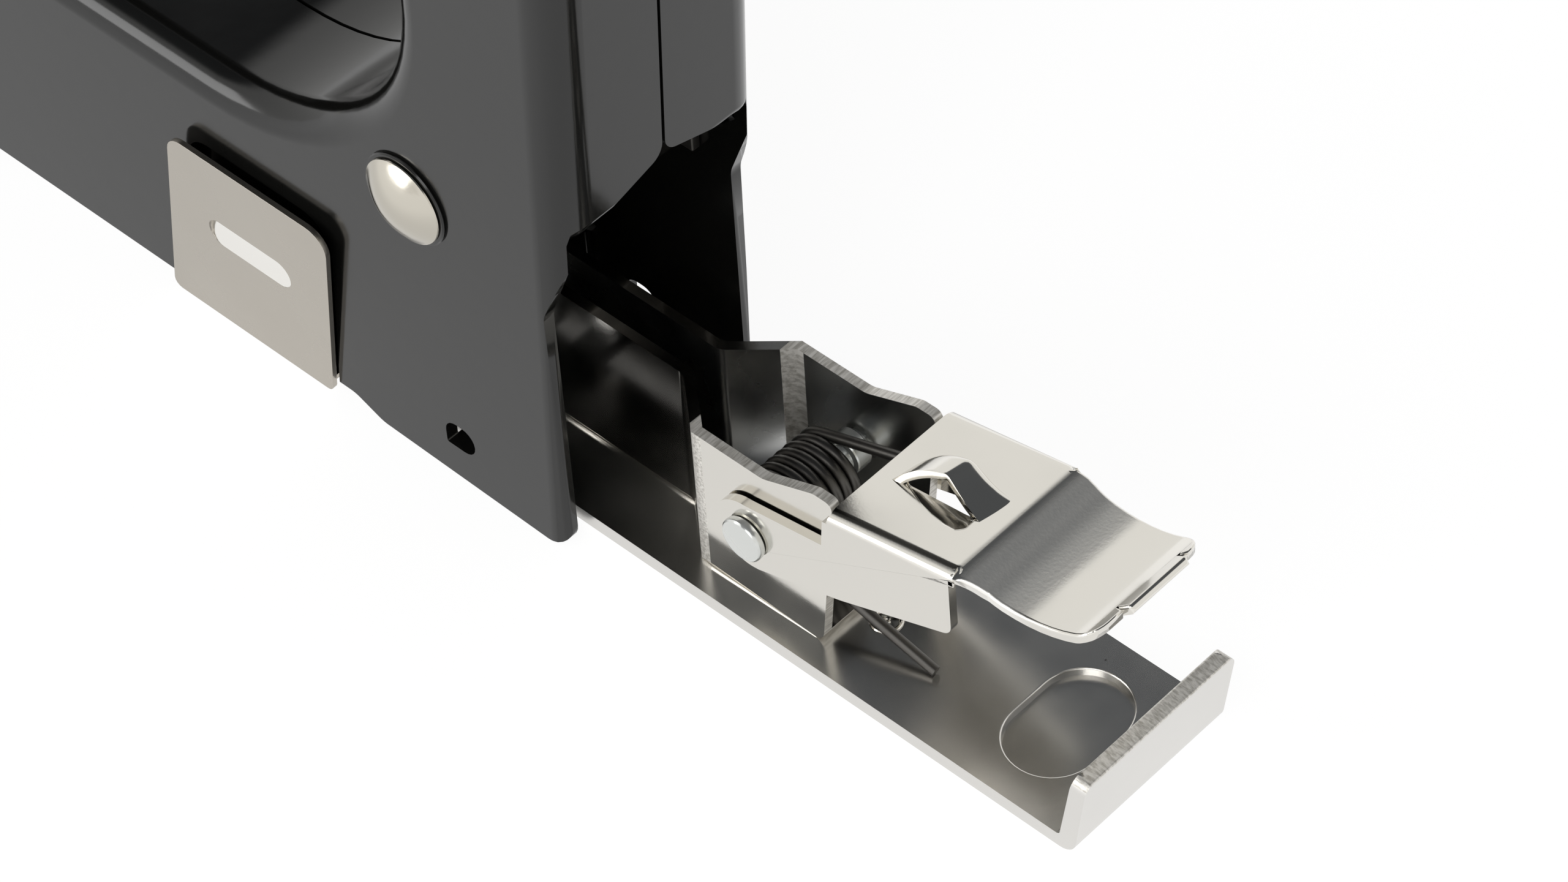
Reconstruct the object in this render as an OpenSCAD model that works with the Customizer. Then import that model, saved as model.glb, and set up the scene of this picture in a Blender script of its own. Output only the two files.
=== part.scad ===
// Hand staple gun, standing on its foot, with the magazine drawn out to load.
// Millimetres. The shaping modules count X forwards from the body's rear face, Y to the
// left side and Z up from the surface that the gun stands on. place() then moves the
// origin to the middle of the front plate's lower end, where a staple leaves.

/* [Body] */
// Length from the rear face to the front plate's face
body_length = 160; // [156:1:172]
// Width over the two shells
body_width = 28; // [27.6:0.2:32]
// Thickness of the shells' sheet steel
shell_sheet = 1.5; // [1.2:0.1:1.6]
// Height of the lower bar, up to the finger opening
bar_height = 37.4; // [37:0.2:42]
// Depth of the rear pillar, from the rear face to the finger opening
pillar_depth = 21.7; // [21.2:0.1:24]
// Height of the finger opening
opening_height = 40.6; // [40.6:0.2:46]
// Radius of the finger opening's lower rear corner
opening_sweep = 30; // [24:1:30]
// Radius of the rear face's upright corners
rear_corner = 4.2; // [3:0.2:5]
// Height of the doorway's crown in the rear face
doorway_height = 49.2; // [47:0.2:54]
// Lean of the rear face, in degrees
rear_lean = 3; // [2:0.5:4]
// Radius of the domed rivet heads
rivet_head = 5; // [4.4:0.2:5.4]
// Radius of the rivet shanks
rivet_shank = 2.5; // [2:0.1:2.8]

/* [Nose] */
// Thickness of the front plate
front_plate_t = 1.8; // [1.4:0.1:2.2]
// Thickness of the driver blade
blade_t = 1.2; // [1:0.1:1.4]
// Depth of the nose guide behind the blade
nose_depth = 9.4; // [8:0.2:11]
// Thickness of the rubber bumper under the plunger
bumper_t = 3.5; // [2.5:0.5:5]
// Height of the plunger block
plunger_height = 17.2; // [14:0.2:20]
// Outer radius of the main spring
main_spring_r = 8.5; // [7.4:0.1:8.5]
// Wire thickness of the main spring
main_wire = 2; // [1.6:0.1:2.4]
// Turns of the main spring
main_turns = 11; // [8:1:13]

/* [Handle] */
// Reach from the handle's pivot to its lift pin
lift_arm = 45.5; // [42:0.5:50]
// Length of the handle behind its pivot
handle_reach = 98; // [90:1:106]
// Thickness of the handle's sheet steel
handle_sheet = 1.5; // [1.2:0.1:2]
// Height of the handle's cheeks
handle_depth = 14; // [12:0.5:15]
// Length of the grip cover
grip_length = 68; // [50:1:72]
// Thickness of the grip cover
grip_t = 1.5; // [1.2:0.1:1.6]
// Radius of the handle's pivot pin
pivot_r = 3; // [2.6:0.1:3.6]
// Radius of the lift pin
lift_pin_r = 2; // [1.6:0.1:2.4]

/* [Magazine] */
// How far the magazine closes from the drawn-out position
closing_travel = 58; // [56:0.5:60]
// Width of the base plate
plate_width = 22; // [21:0.2:22.2]
// Thickness of the base plate
plate_t = 1.76; // [1.5:0.02:1.9]
// Height of the base plate's top above the surface
plate_top = 3.6; // [3.5:0.05:3.8]
// Height of the upturned lip's top
lip_height = 13.3; // [12:0.1:15]
// Length of the finger dimple across the plate
dimple_length = 14.7; // [12:0.1:16]
// Width over the staple rail
rail_width = 5.8; // [5.4:0.1:6.2]
// Thickness of the rail's sheet
rail_sheet = 1.15; // [1:0.05:1.2]
// Width over the rail's ears
ear_width = 16; // [15:0.1:16.4]
// Height of the rail's top at the ears
rail_top = 22.6; // [22:0.1:23]
// Height of the rail's top where the staples ride
staple_rail_top = 16; // [14:0.1:18]
// Wire thickness of the staples
staple_wire = 1; // [0.7:0.05:1.2]
// Length of the staple legs
staple_leg = 12; // [8:0.5:12]
// Length of the staple strip
strip_length = 37.5; // [25:0.5:38]
// Length of the pusher
pusher_length = 8; // [6:0.5:10]
// How far the pusher draws back
pusher_travel = 16; // [10:0.5:18]

/* [Latch] */
// Radius of the latch's hinge pin
hinge_r = 1.7; // [1.5:0.05:1.9]
// Thickness of the latch lever's sheet
latch_sheet = 1; // [0.8:0.1:1.1]
// Slope of the latch lever's top plate, in degrees
latch_slope = 12.9; // [12:0.1:14]
// Rise of the hook above the latch lever's top plate
hook_rise = 3.4; // [2.8:0.1:3.6]
// Width of the latch lever's thumb plate
thumb_width = 15.8; // [14:0.2:17.4]
// Wire thickness of the latch spring
latch_wire = 1.2; // [0.9:0.05:1.3]
// Outer radius of the latch spring's coil
latch_coil_r = 4.5; // [4.1:0.1:4.7]
// Turns of the latch spring between its legs
latch_turns = 6; // [4:1:6]

/* [Clip] */
// Thickness of the side clip's spring steel
clip_sheet = 0.6; // [0.4:0.05:0.7]
// Height of the side clip's plates
clip_height = 27; // [24:0.5:29]
// How far the side clip's plates lean out at the top
clip_flare = 2.1; // [1:0.1:2.4]

/* [Fits] */
// Gap between pieces that move past each other
gap = 0.3; // [0.25:0.05:0.4]
// Radial clearance of pins and rods in their bores
pin_fit = 0.08; // [0.04:0.01:0.09]
// Gap between fixed pieces
seat = 0.05; // [0.02:0.01:0.08]
// Gap along the seam between the two shells
seam = 0.4; // [0.2:0.1:0.5]

/* [Hidden] */

$fn = 48;

// Body
half_width = body_width / 2;
inner_width = half_width - shell_sheet;
opening_top = bar_height + opening_height;
shell_front = body_length - front_plate_t;
lean_height = 56;
bar_edge = 2.3;
grip_bar = 12;
grip_bar_top = opening_top + grip_bar;
pivot_rise = 14;
pivot_height = opening_top + pivot_rise;
shoulder_rise = 10;
shoulder = pivot_height + shoulder_rise;
head_rise = 20;
head_top = pivot_height + head_rise;
head_depth = 28;
head_rear = body_length - head_depth;
brow = 12;
front_column = 48;
opening_front = body_length - front_column;
side_edge = 4.5;
doorway_arch = 4;
doorway_side = doorway_height - doorway_arch;
tail_rise = 6.5;
tail_top = opening_top + tail_rise;
// How far cutting shapes run past the piece that they cut
over = 20;

// Nose, from the front plate backwards
blade_front = shell_front - gap;
blade_back = blade_front - blade_t;
nose_front = blade_back - gap;
nose_back = nose_front - nose_depth;
blade_tip = 0.4;
nose_top = 25;
nose_rivet_r = 2;
nose_rivet_z = nose_top - 3.7;
blade_width = rail_width + 2 * staple_wire;
channel_width = blade_width + 1.2;
crown_top = staple_rail_top + 2 * seat + staple_wire;
stroke = crown_top + gap - blade_tip;
plunger_bottom = nose_top + bumper_t + gap;
plunger_top = plunger_bottom + plunger_height;
spring_room = 0.7;
spring_x = shell_front - spring_room - main_spring_r;
strap_t = 2;
strap_front = spring_x - main_spring_r - spring_room;
strap_back = strap_front - strap_t;
spring_seat_t = 4.5;
spring_ceiling = head_top - shell_sheet - spring_seat_t;

// Handle: shaped in the squeezed position and turned up about its pivot
pivot_x = strap_back - gap - lift_pin_r - lift_arm;
half_squeeze = asin(stroke / (2 * lift_arm));
squeeze = 2 * half_squeeze;
pin_back = lift_arm * cos(half_squeeze);
pin_rise = lift_arm * sin(half_squeeze);
handle_room = 0.8;
handle_half = inner_width - handle_room;
handle_rise = 10;
handle_top = grip_bar_top + handle_rise;
handle_rear = pivot_x - handle_reach;
boss_r = 9;
bar_round = 6;
skirt_depth = 8;
skirt = handle_top - skirt_depth;
arm_half = 4;

// Magazine
plate_half = plate_width / 2;
plate_bottom = plate_top - plate_t;
lip_foot = -58.35;
plate_front = nose_back - closing_travel - 0.5;
rail_front = nose_front - closing_travel - gap;
rail_half = rail_width / 2;
ear_half = ear_width / 2;
jog_front = -2.7;
ear_rear = -27.4;
rod_height = 10;
rod_r = 1;
rod_rear = 30;
low_rail_rear = 30;
plug = 3;
strip_front = rail_front - 0.3;
pusher_front = strip_front - strip_length - gap;
pusher_rear = pusher_front - pusher_length;

// Latch
pin_x = -16.8;
pin_z = 14.5;
latch_half = ear_half + gap + latch_sheet;
latch_front = -27.6;
latch_top = rail_top + 2.6;
latch_bend = 17.9;
latch_along = [-cos(latch_slope), sin(latch_slope)];
latch_up = [sin(latch_slope), cos(latch_slope)];
bend_point = [latch_front, latch_top] + latch_bend * latch_along;
hook_ridge = 9.6;
hook_front = 1.9;
hook_back = 14.2;
ridge_height = latch_top + (hook_ridge * latch_along + hook_rise * latch_up).y;
catch_front = latch_front + closing_travel + hook_back * latch_along.x - 0.1;
catch_t = 1.5;
catch_edge = latch_top + latch_bend * sin(latch_slope) + 0.2;

// Guide and clip
guide_rear = 26;
guide_front = opening_front;
guide_wall = 1;
guide_inner = plate_half + 0.4;
guide_top = ridge_height + 3.3;
clip_rear = 38.4;
clip_front = 62.8;
clip_lean = 4.1;
clip_web_top = plate_bottom - gap;

// Points of an outline are [x, y, corner radius]
function unit(v) = v / norm(v);
function flat(p) = [p.x, p.y];

// Steps of a rounded corner of radius r, enough to look round
function corner_steps(r) = ceil(3 * sqrt(r)) + 1;

// The points of one rounded corner b between its neighbours a and c
function corner(a, b, c) =
    b[2] == 0 ? [flat(b)] :
    let (u = unit(flat(a) - flat(b)), w = unit(flat(c) - flat(b)),
        half = acos(u * w) / 2,
        centre = flat(b) + unit(u + w) * b[2] / sin(half),
        from = flat(b) + u * b[2] / tan(half) - centre,
        to = flat(b) + w * b[2] / tan(half) - centre,
        start = atan2(from.y, from.x), steps = corner_steps(b[2]),
        turn = atan2(to.y, to.x) - start,
        sweep = turn > 180 ? turn - 360 : turn < -180 ? turn + 360 : turn)
    [for (k = [0:steps]) centre + b[2] * [cos(start + sweep * k / steps), sin(start + sweep * k / steps)]];

// An outline with every corner rounded
function rounded(p) = let (n = len(p))
    [for (i = [0:n - 1]) each corner(p[(i + n - 1) % n], p[i], p[(i + 1) % n])];

// A counter-clockwise outline moved inwards by t, or outwards where t is negative
function inset(p, t) = let (n = len(p))
    [for (i = [0:n - 1])
        let (a = flat(p[(i + n - 1) % n]), b = flat(p[i]), c = flat(p[(i + 1) % n]),
            u = unit(b - a), w = unit(c - b),
            nu = [-u.y, u.x], nw = [-w.y, w.x],
            m = unit(nu + nw), q = b + m * t / (m * nu),
            side = sign(u.x * w.y - u.y * w.x))
        [q.x, q.y, p[i][2] == 0 ? 0 : max(0.2, p[i][2] - side * t)]];

// A strip of thickness t on the right of a line of points
function strip(p, t) = let (n = len(p),
    below = [for (i = [0:n - 1])
        let (u = unit(p[max(i, 1)] - p[max(i, 1) - 1]), w = unit(p[min(i, n - 2) + 1] - p[min(i, n - 2)]),
            m = unit([u.y, -u.x] + [w.y, -w.x]))
        p[i] + m * t / (m * [u.y, -u.x])])
    concat(p, [for (i = [n - 1:-1:0]) below[i]]);

// The ring of points round point i of a path, for a wire of radius r
function ring(p, i, r, sides, ref) =
    let (t = unit(p[min(i + 1, len(p) - 1)] - p[max(i - 1, 0)]),
        a = unit(ref - (ref * t) * t), b = cross(t, a))
    [for (k = [0:sides - 1]) p[i] + r * (a * cos(360 * k / sides) + b * sin(360 * k / sides))];

// A wire of radius r along a path that never runs along ref
module wire(p, r, sides, ref) {
    n = len(p);
    polyhedron(
        [for (i = [0:n - 1]) each ring(p, i, r, sides, ref)],
        concat(
            [[for (k = [0:sides - 1]) k]],
            [for (i = [0:n - 2]) for (k = [0:sides - 1])
                each [[i * sides + k, (i + 1) * sides + k, (i + 1) * sides + (k + 1) % sides],
                    [i * sides + k, (i + 1) * sides + (k + 1) % sides, i * sides + (k + 1) % sides]]],
            [[for (k = [sides - 1:-1:0]) (n - 1) * sides + k]]));
}

// An X-Z outline as a plate from y0 to y1
module slab(y0, y1) translate([0, y1, 0]) rotate([90, 0, 0]) linear_extrude(y1 - y0) children();

// A round bar across the gun, from y0 to y1
module cross_bar(x, z, r, y0, y1) translate([x, y0, z]) rotate([-90, 0, 0]) cylinder(r = r, h = y1 - y0);

// A round bar along the gun, from x0 to x1
module long_bar(y, z, r, x0, x1) translate([x0, y, z]) rotate([0, 90, 0]) cylinder(r = r, h = x1 - x0);

module block(x0, x1, y0, y1, z0, z1) translate([x0, y0, z0]) cube([x1 - x0, y1 - y0, z1 - z0]);

module both_sides() {
    children();
    mirror([0, 1, 0]) children();
}

module place() translate([-(body_length - front_plate_t / 2), 0, 0]) children();

// Turns the handle from the squeezed position up to rest
module raised() translate([pivot_x, 0, pivot_height]) rotate([0, squeeze, 0])
    translate([-pivot_x, 0, -pivot_height]) children();

// Body outline, counter-clockwise from the heel
body_corners = [[side_edge, 0, 3], [31.5, 0.7, 4], [35.5, bar_edge, 4],
    [nose_back - 9, bar_edge, 2], [nose_back - 6, 0, 2], [shell_front, 0, 0],
    [shell_front, head_top, 9], [head_rear, head_top, 12], [head_rear - brow, shoulder, 8],
    [pivot_x - 8, shoulder, 10],
    [pivot_x - 8 - shoulder + grip_bar_top, grip_bar_top, 10], [-4, grip_bar_top, 8],
    [-4, doorway_side, 0], [0.75, doorway_side - 1.4, 0], [3, doorway_side - 7, 4],
    [side_edge, doorway_side - 10.8, 4]];

opening_corners = [[pillar_depth, bar_height, opening_sweep], [opening_front, bar_height, 16],
    [opening_front, opening_top, 12], [pillar_depth, opening_top, 10]];

rivet_places = [[pillar_depth + 0.9, bar_height + 1.8], [pillar_depth / 2, opening_top + 3],
    [opening_front + 8, bar_height - 7.4], [head_rear - 6, opening_top - 6]];

// The body's outer form for t = 0, and the space inside its walls for t = the sheet
module body_form(t) intersection() {
    slab(t - half_width, half_width - t) polygon(rounded(inset(body_corners, t)));
    translate([0, 0, lean_height]) rotate([0, -rear_lean, 0]) translate([0, 0, -lean_height - over])
        linear_extrude(head_top + 3 * over) polygon(rounded([[t, half_width - t, rear_corner - t],
            [t, t - half_width, rear_corner - t], [body_length + 2 * over, t - half_width, 0],
            [body_length + 2 * over, half_width - t, 0]]));
}

// The doorway in the rear face that the latch is reached through
module doorway() rotate([90, 0, 90]) translate([0, 0, -8]) linear_extrude(16)
    polygon([[-inner_width, -1], [inner_width, -1], [inner_width, doorway_side],
        [9.35, doorway_side + 0.9], [5.9, doorway_side + 2.2], [0, doorway_height],
        [-5.9, doorway_side + 2.2], [-9.35, doorway_side + 0.9], [-inner_width, doorway_side]]);

// The cut-out that the side clip stands in
module clip_window() slab(inner_width - 1, half_width + 1)
    polygon(rounded([[clip_rear - 0.2, -1, 0], [clip_front - 2, -1, 0],
        [clip_front - clip_lean - 2.4, clip_height - 0.4, 3], [clip_rear - clip_lean + 1.1, clip_height - 0.4, 4]]));

module tab_slot() slab(inner_width - 1, half_width + 1)
    polygon(rounded([[17.3, 4.9, 1.7], [21.5, 4.9, 0.2], [21.5, 8.4, 1.7], [17.3, 8.4, 1.7]]));

module shell() color([0.06, 0.06, 0.065]) {
    difference() {
        body_form(0);
        difference() {
            body_form(shell_sheet);
            slab(-half_width, half_width) polygon(rounded(inset(opening_corners, -shell_sheet)));
        }
        slab(-half_width - 1, half_width + 1) polygon(rounded(opening_corners));
        doorway();
        block(2, body_length, -inner_width, inner_width, -1, bar_height - 4);
        block(nose_back - 6, body_length, -inner_width, inner_width, -1, head_top - shell_sheet);
        block(-over, head_rear - brow + 4, -inner_width, inner_width, tail_top, shoulder + 2 * arm_half);
        block(-over, body_length + over, -half_width - 1, seam / 2, -over, head_top + over);
        tab_slot();
        clip_window();
        for (p = rivet_places) cross_bar(p.x, p.y, rivet_shank + seat, 0, half_width + 1);
        cross_bar(pivot_x, pivot_height, pivot_r + seat, 0, half_width + 1);
        cross_bar(nose_back + nose_depth / 2, nose_rivet_z, nose_rivet_r + seat, 0, half_width + 1);
    }
    // Tab folded in over the base plate
    block(17.3, 21.5, plate_half - 1.5, inner_width + 0.2, plate_top + gap, plate_top + gap + 1);
}

module left_shell() place() shell();

module right_shell() place() mirror([0, 1, 0]) shell();

// Low domed head of radius r, standing h off a face at y
module domed_head(x, z, r, h, y) {
    ball = (r * r + h * h) / (2 * h);
    intersection() {
        translate([x, y + h - ball, z]) sphere(ball, $fn = 96);
        cross_bar(x, z, r + 1, y, y + h + 1);
    }
}

module body_rivets() color("silver") place()
    for (p = rivet_places) {
        cross_bar(p.x, p.y, rivet_shank, -half_width - seat, half_width + seat);
        both_sides() domed_head(p.x, p.y, rivet_head, 1.1, half_width + seat);
    }

module rivet_spacers() color("silver") place()
    for (p = rivet_places) difference() {
        cross_bar(p.x, p.y, rivet_shank + 1.4, seat - inner_width, inner_width - seat);
        cross_bar(p.x, p.y, rivet_shank + seat, -half_width, half_width);
    }

// Screws stand on each side of the blade
screw_y = 8.5;
screw_z = 12;
screw_r = 1.6;

module front_plate() color("silver") place() difference() {
    rotate([90, 0, 90]) translate([0, 0, shell_front + seat]) linear_extrude(front_plate_t - seat)
        polygon(rounded([[-half_width + 0.5, 0, 0.5], [half_width - 0.5, 0, 0.5],
            [half_width - 0.5, head_top - 2, 6], [-half_width + 0.5, head_top - 2, 6]]));
    both_sides() long_bar(screw_y, screw_z, screw_r + seat, shell_front - 1, body_length + 1);
}

module front_screws() color("silver") place() both_sides() {
    long_bar(screw_y, screw_z, screw_r, nose_front - 6, body_length + seat);
    difference() {
        long_bar(screw_y, screw_z, 3, body_length + seat, body_length + 2);
        block(body_length + 1.2, body_length + 3, screw_y - 3.5, screw_y + 3.5, screw_z - 0.4, screw_z + 0.4);
    }
}

module nose_guide() color("silver") place() difference() {
    block(nose_back, nose_front, 0.1 - inner_width, inner_width - 0.1, 0, nose_top);
    block(nose_back - 1, nose_front + 1, -channel_width / 2, channel_width / 2, -1, crown_top + 0.5);
    both_sides() long_bar(screw_y, screw_z, screw_r + seat, nose_front - 6.5, nose_front + 1);
    cross_bar(nose_back + nose_depth / 2, nose_rivet_z, nose_rivet_r + seat, -half_width, half_width);
}

module nose_rivet() color("silver") place() {
    x = nose_back + nose_depth / 2;
    cross_bar(x, nose_rivet_z, nose_rivet_r, -half_width - seat, half_width + seat);
    both_sides() domed_head(x, nose_rivet_z, 3.4, 0.9, half_width + seat);
}

module bumper() color([0.1, 0.1, 0.1]) place()
    block(nose_back, nose_front, 2 - inner_width, inner_width - 2, nose_top, nose_top + bumper_t);

module spring_seat() color("silver") place() translate([spring_x, 0, 0]) {
    translate([0, 0, spring_ceiling]) cylinder(r = main_spring_r, h = spring_seat_t - seat);
    translate([0, 0, spring_ceiling - 4]) cylinder(r = main_spring_r - main_wire - 0.4, h = 4.5);
}

// Height of the main spring's wire centre at a share f of its length
spring_low = plunger_top + main_wire / 2 + seat;
spring_high = spring_ceiling - main_wire / 2 - seat;
main_path = [for (k = [0:main_turns * 20]) let (a = 18 * k, f = k / (main_turns * 20))
    [spring_x + (main_spring_r - main_wire / 2) * cos(a), (main_spring_r - main_wire / 2) * sin(a),
        spring_low + (spring_high - spring_low) * f]];

module main_spring() color("silver") place() wire(main_path, main_wire / 2, 8, [0, 0, 1]);

module guide_channel() color([0.1, 0.1, 0.1]) place() difference() {
    block(guide_rear, guide_front, -guide_inner - guide_wall, guide_inner + guide_wall, bar_edge, guide_top);
    block(guide_rear - 1, guide_front + 1, -guide_inner, guide_inner, 0, guide_top - guide_wall);
}

// Obround dimple pressed into the side clip's plates, and how deep
module clip_dimple(t) {
    low = clip_height / 2 + 0.5;
    polygon(rounded(inset([[clip_rear + 3.3, low, 1.8], [clip_rear + 15.5, low, 1.8],
        [clip_rear + 15.5, low + 3.7, 1.8], [clip_rear + 3.3, low + 3.7, 1.8]], t)));
}
dimple_sink = 0.5;

// One plate of the side clip, upright, with its dimple pressed inwards
module clip_plate() difference() {
    union() {
        slab(0, clip_sheet) polygon(rounded([[clip_rear, clip_web_top - clip_sheet, 1],
            [clip_front, clip_web_top - clip_sheet, 1], [clip_front - clip_lean - 0.9, clip_height, 2.5],
            [clip_rear - clip_lean, clip_height, 2.5]]));
        slab(-dimple_sink, clip_sheet / 2) clip_dimple(-0.3);
    }
    slab(clip_sheet - dimple_sink, clip_sheet + 1) clip_dimple(0);
}

module side_clip() color("silver") place() {
    both_sides() translate([0, half_width, clip_web_top - clip_sheet])
        rotate([-atan(clip_flare / clip_height), 0, 0])
        translate([0, 0, -(clip_web_top - clip_sheet)]) clip_plate();
    block(clip_rear + 1, clip_front - 1, -half_width - 0.2, half_width + 0.2, clip_web_top - clip_sheet, clip_web_top);
}

module catch_plate() color([0.1, 0.1, 0.1]) place() {
    block(catch_front - catch_t, catch_front, seat - inner_width, inner_width - seat, catch_edge, catch_edge + 14);
    both_sides() block(catch_front - 8, catch_front, inner_width - 1.2, inner_width - seat,
        catch_edge + 6, catch_edge + 14);
}

module handle_pin() color("silver") place() {
    cross_bar(pivot_x, pivot_height, pivot_r, -half_width - seat, half_width + seat);
    both_sides() domed_head(pivot_x, pivot_height, pivot_r + 2.5, 1.3, half_width + seat);
}

module pivot_washers() color("silver") place() both_sides() difference() {
    cross_bar(pivot_x, pivot_height, pivot_r + 2.5, handle_half + 0.1, inner_width - 0.1);
    cross_bar(pivot_x, pivot_height, pivot_r + pin_fit, 0, half_width);
}

// Bar of the handle, counter-clockwise, in the squeezed position
bar_corners = [[handle_rear, handle_top - handle_depth, 3], [pivot_x - 6, handle_top - handle_depth, 0],
    [pivot_x - 6, handle_top, 0], [handle_rear, handle_top, bar_round]];

// One cheek of the handle: bar, boss and lift arm
module cheek() {
    polygon(rounded(bar_corners));
    translate([pivot_x, pivot_height]) {
        circle(boss_r);
        rotate(half_squeeze) {
            translate([0, -arm_half]) square([lift_arm, 2 * arm_half]);
            translate([lift_arm, 0]) circle(arm_half);
        }
    }
}

module handle_lever() color("silver") place() raised() difference() {
    union() {
        both_sides() slab(handle_half - handle_sheet, handle_half) cheek();
        difference() {
            slab(-handle_half, handle_half) polygon(rounded(bar_corners));
            slab(handle_sheet - handle_half, handle_half - handle_sheet)
                polygon(rounded(inset([[handle_rear, handle_top - handle_depth - over, 0],
                    [pivot_x + over, handle_top - handle_depth - over, 0], [pivot_x + over, handle_top, 0],
                    [handle_rear, handle_top, bar_round]], handle_sheet)));
        }
    }
    cross_bar(pivot_x, pivot_height, pivot_r + pin_fit, -half_width, half_width);
    cross_bar(pivot_x + pin_back, pivot_height + pin_rise, lift_pin_r + seat, -half_width, half_width);
}

// Side outline of the grip cover, and the part of it that the handle's bar fills
module grip_outline() polygon(rounded([[handle_rear - grip_t, skirt, 1],
    [handle_rear + grip_length, skirt, 1], [handle_rear + grip_length, handle_top + grip_t, 1],
    [handle_rear - grip_t, handle_top + grip_t, bar_round + grip_t]]));

module grip_fill() polygon(rounded([[handle_rear - seat, skirt - over, 0],
    [handle_rear + grip_length + over, skirt - over, 0],
    [handle_rear + grip_length + over, handle_top + seat, 0],
    [handle_rear - seat, handle_top + seat, bar_round + seat]]));

module handle_grip() color([0.08, 0.08, 0.08]) place() raised() {
    slab(-handle_half - seat - 0.2, handle_half + seat + 0.2) difference() {
        grip_outline();
        grip_fill();
    }
    both_sides() slab(handle_half + seat, handle_half + grip_t) grip_outline();
}

module lift_pin() color("silver") place() raised()
    cross_bar(pivot_x + pin_back, pivot_height + pin_rise, lift_pin_r, -handle_half, handle_half);

module plunger() color("silver") place() difference() {
    block(strap_front, blade_back, gap - inner_width, inner_width - gap, plunger_bottom, plunger_top);
    long_bar(0, plunger_bottom + 5, 1.5 + seat, blade_back - 6.5, blade_back + 1);
}

module lift_strap() color("silver") place() {
    tab = pivot_height - pin_rise + lift_pin_r + 0.1;
    block(strap_back, strap_front, -5, 5, plunger_bottom, tab + strap_t);
    block(strap_back - 7, strap_front, -5, 5, tab, tab + strap_t);
}

module driver_blade() color("silver") place() difference() {
    block(blade_back, blade_front, -blade_width / 2, blade_width / 2, blade_tip, plunger_top - 2);
    long_bar(0, plunger_bottom + 5, 1.5 + seat, blade_back - 1, blade_front + 1);
}

module blade_pin() color("silver") place() long_bar(0, plunger_bottom + 5, 1.5, blade_back - 6, blade_front);

// Round-ended slot across the plate, half its width r
module stadium(r, length) {
    square([2 * r, length - 2 * r], center = true);
    for (s = [-1, 1]) translate([0, s * (length / 2 - r)]) circle(r);
}

dimple_x = -50;
dimple_r = 4.95;
// A set rivet in the plate's rear, and two that hold the rail
set_rivet = [-28, 1.9];
set_rivet_r = 1.76;
rail_rivets = [plate_front - 50, plate_front - 12];
rail_rivet_r = 1.2;

module base_plate() color("silver") place() difference() {
    union() {
        slab(-plate_half, plate_half) polygon(rounded([[plate_front, plate_bottom, 0], [plate_front, plate_top, 0],
            [lip_foot, plate_top, 0.5], [lip_foot - 1.65, lip_height, 0.3],
            [lip_foot - 1.65 - plate_t, lip_height - 0.3, 0.3], [lip_foot - 1.8, plate_bottom, 2.1]]));
        translate([dimple_x, 0, plate_bottom - 0.9]) linear_extrude(1) stadium(dimple_r - 1, dimple_length - 2);
    }
    translate([dimple_x, 0, plate_top - 0.95]) linear_extrude(2) stadium(dimple_r, dimple_length);
    translate(set_rivet) cylinder(r = set_rivet_r + seat, h = over);
    for (x = rail_rivets) translate([x, 0, 0]) cylinder(r = rail_rivet_r + seat, h = over);
    // Rounded top corners of the lip
    both_sides() translate([lip_foot - 5, plate_half - 1.8, lip_height - 1.8]) rotate([0, 90, 0])
        difference() {
            translate([-4, 0, 0]) cube([4, 4, 9]);
            cylinder(r = 1.8, h = 9);
        }
}

module plate_rivets() color("silver") place() translate([0, 0, plate_bottom]) {
    translate(set_rivet) cylinder(r = set_rivet_r, h = plate_t);
    for (x = rail_rivets) translate([x, 0, 0]) cylinder(r = rail_rivet_r, h = plate_t + rail_sheet);
}

// Plan of the rail's outer face, from its front to the rear of the ear
rail_line = [[rail_front, rail_half], [jog_front, rail_half], [jog_front - ear_half + rail_half - 0.8, ear_half],
    [ear_rear - 1, ear_half]];

module staple_rail() color("silver") place() difference() {
    intersection() {
        slab(-ear_half - 1, ear_half + 1) polygon(rounded([[-25.1, plate_top, 1.5], [rail_front, plate_top, 0],
            [rail_front, staple_rail_top, 0.5], [low_rail_rear, staple_rail_top, 2], [low_rail_rear - 6, rail_top, 2],
            [-18.1, rail_top, 3], [-24.9, rail_top + 2.8, 2], [ear_rear, rail_top + 2.8, 0.8]]));
        union() {
            both_sides() linear_extrude(40)
                polygon(strip([for (i = [3:-1:0]) rail_line[i]], rail_sheet));
            linear_extrude(plate_top + rail_sheet)
                polygon(concat(rail_line, [for (i = [3:-1:0]) [rail_line[i].x, -rail_line[i].y]]));
            // Plugs that hold the pusher's rod
            for (x = [rod_rear - plug, rail_front - plug])
                block(x, x + plug, rail_sheet / 2 - rail_half, rail_half - rail_sheet / 2, plate_top, staple_rail_top - 1);
        }
    }
    cross_bar(pin_x, pin_z, hinge_r + seat, -ear_half - 1, ear_half + 1);
    for (x = rail_rivets) translate([x, 0, 0]) cylinder(r = rail_rivet_r + seat, h = plate_top + rail_sheet + 1);
}

module hinge_pin() color("silver") place() {
    cross_bar(pin_x, pin_z, hinge_r, -latch_half - 0.1, latch_half + 0.1);
    both_sides() cross_bar(pin_x, pin_z, hinge_r + 0.9, latch_half + 0.1, latch_half + 1.15);
}

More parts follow.
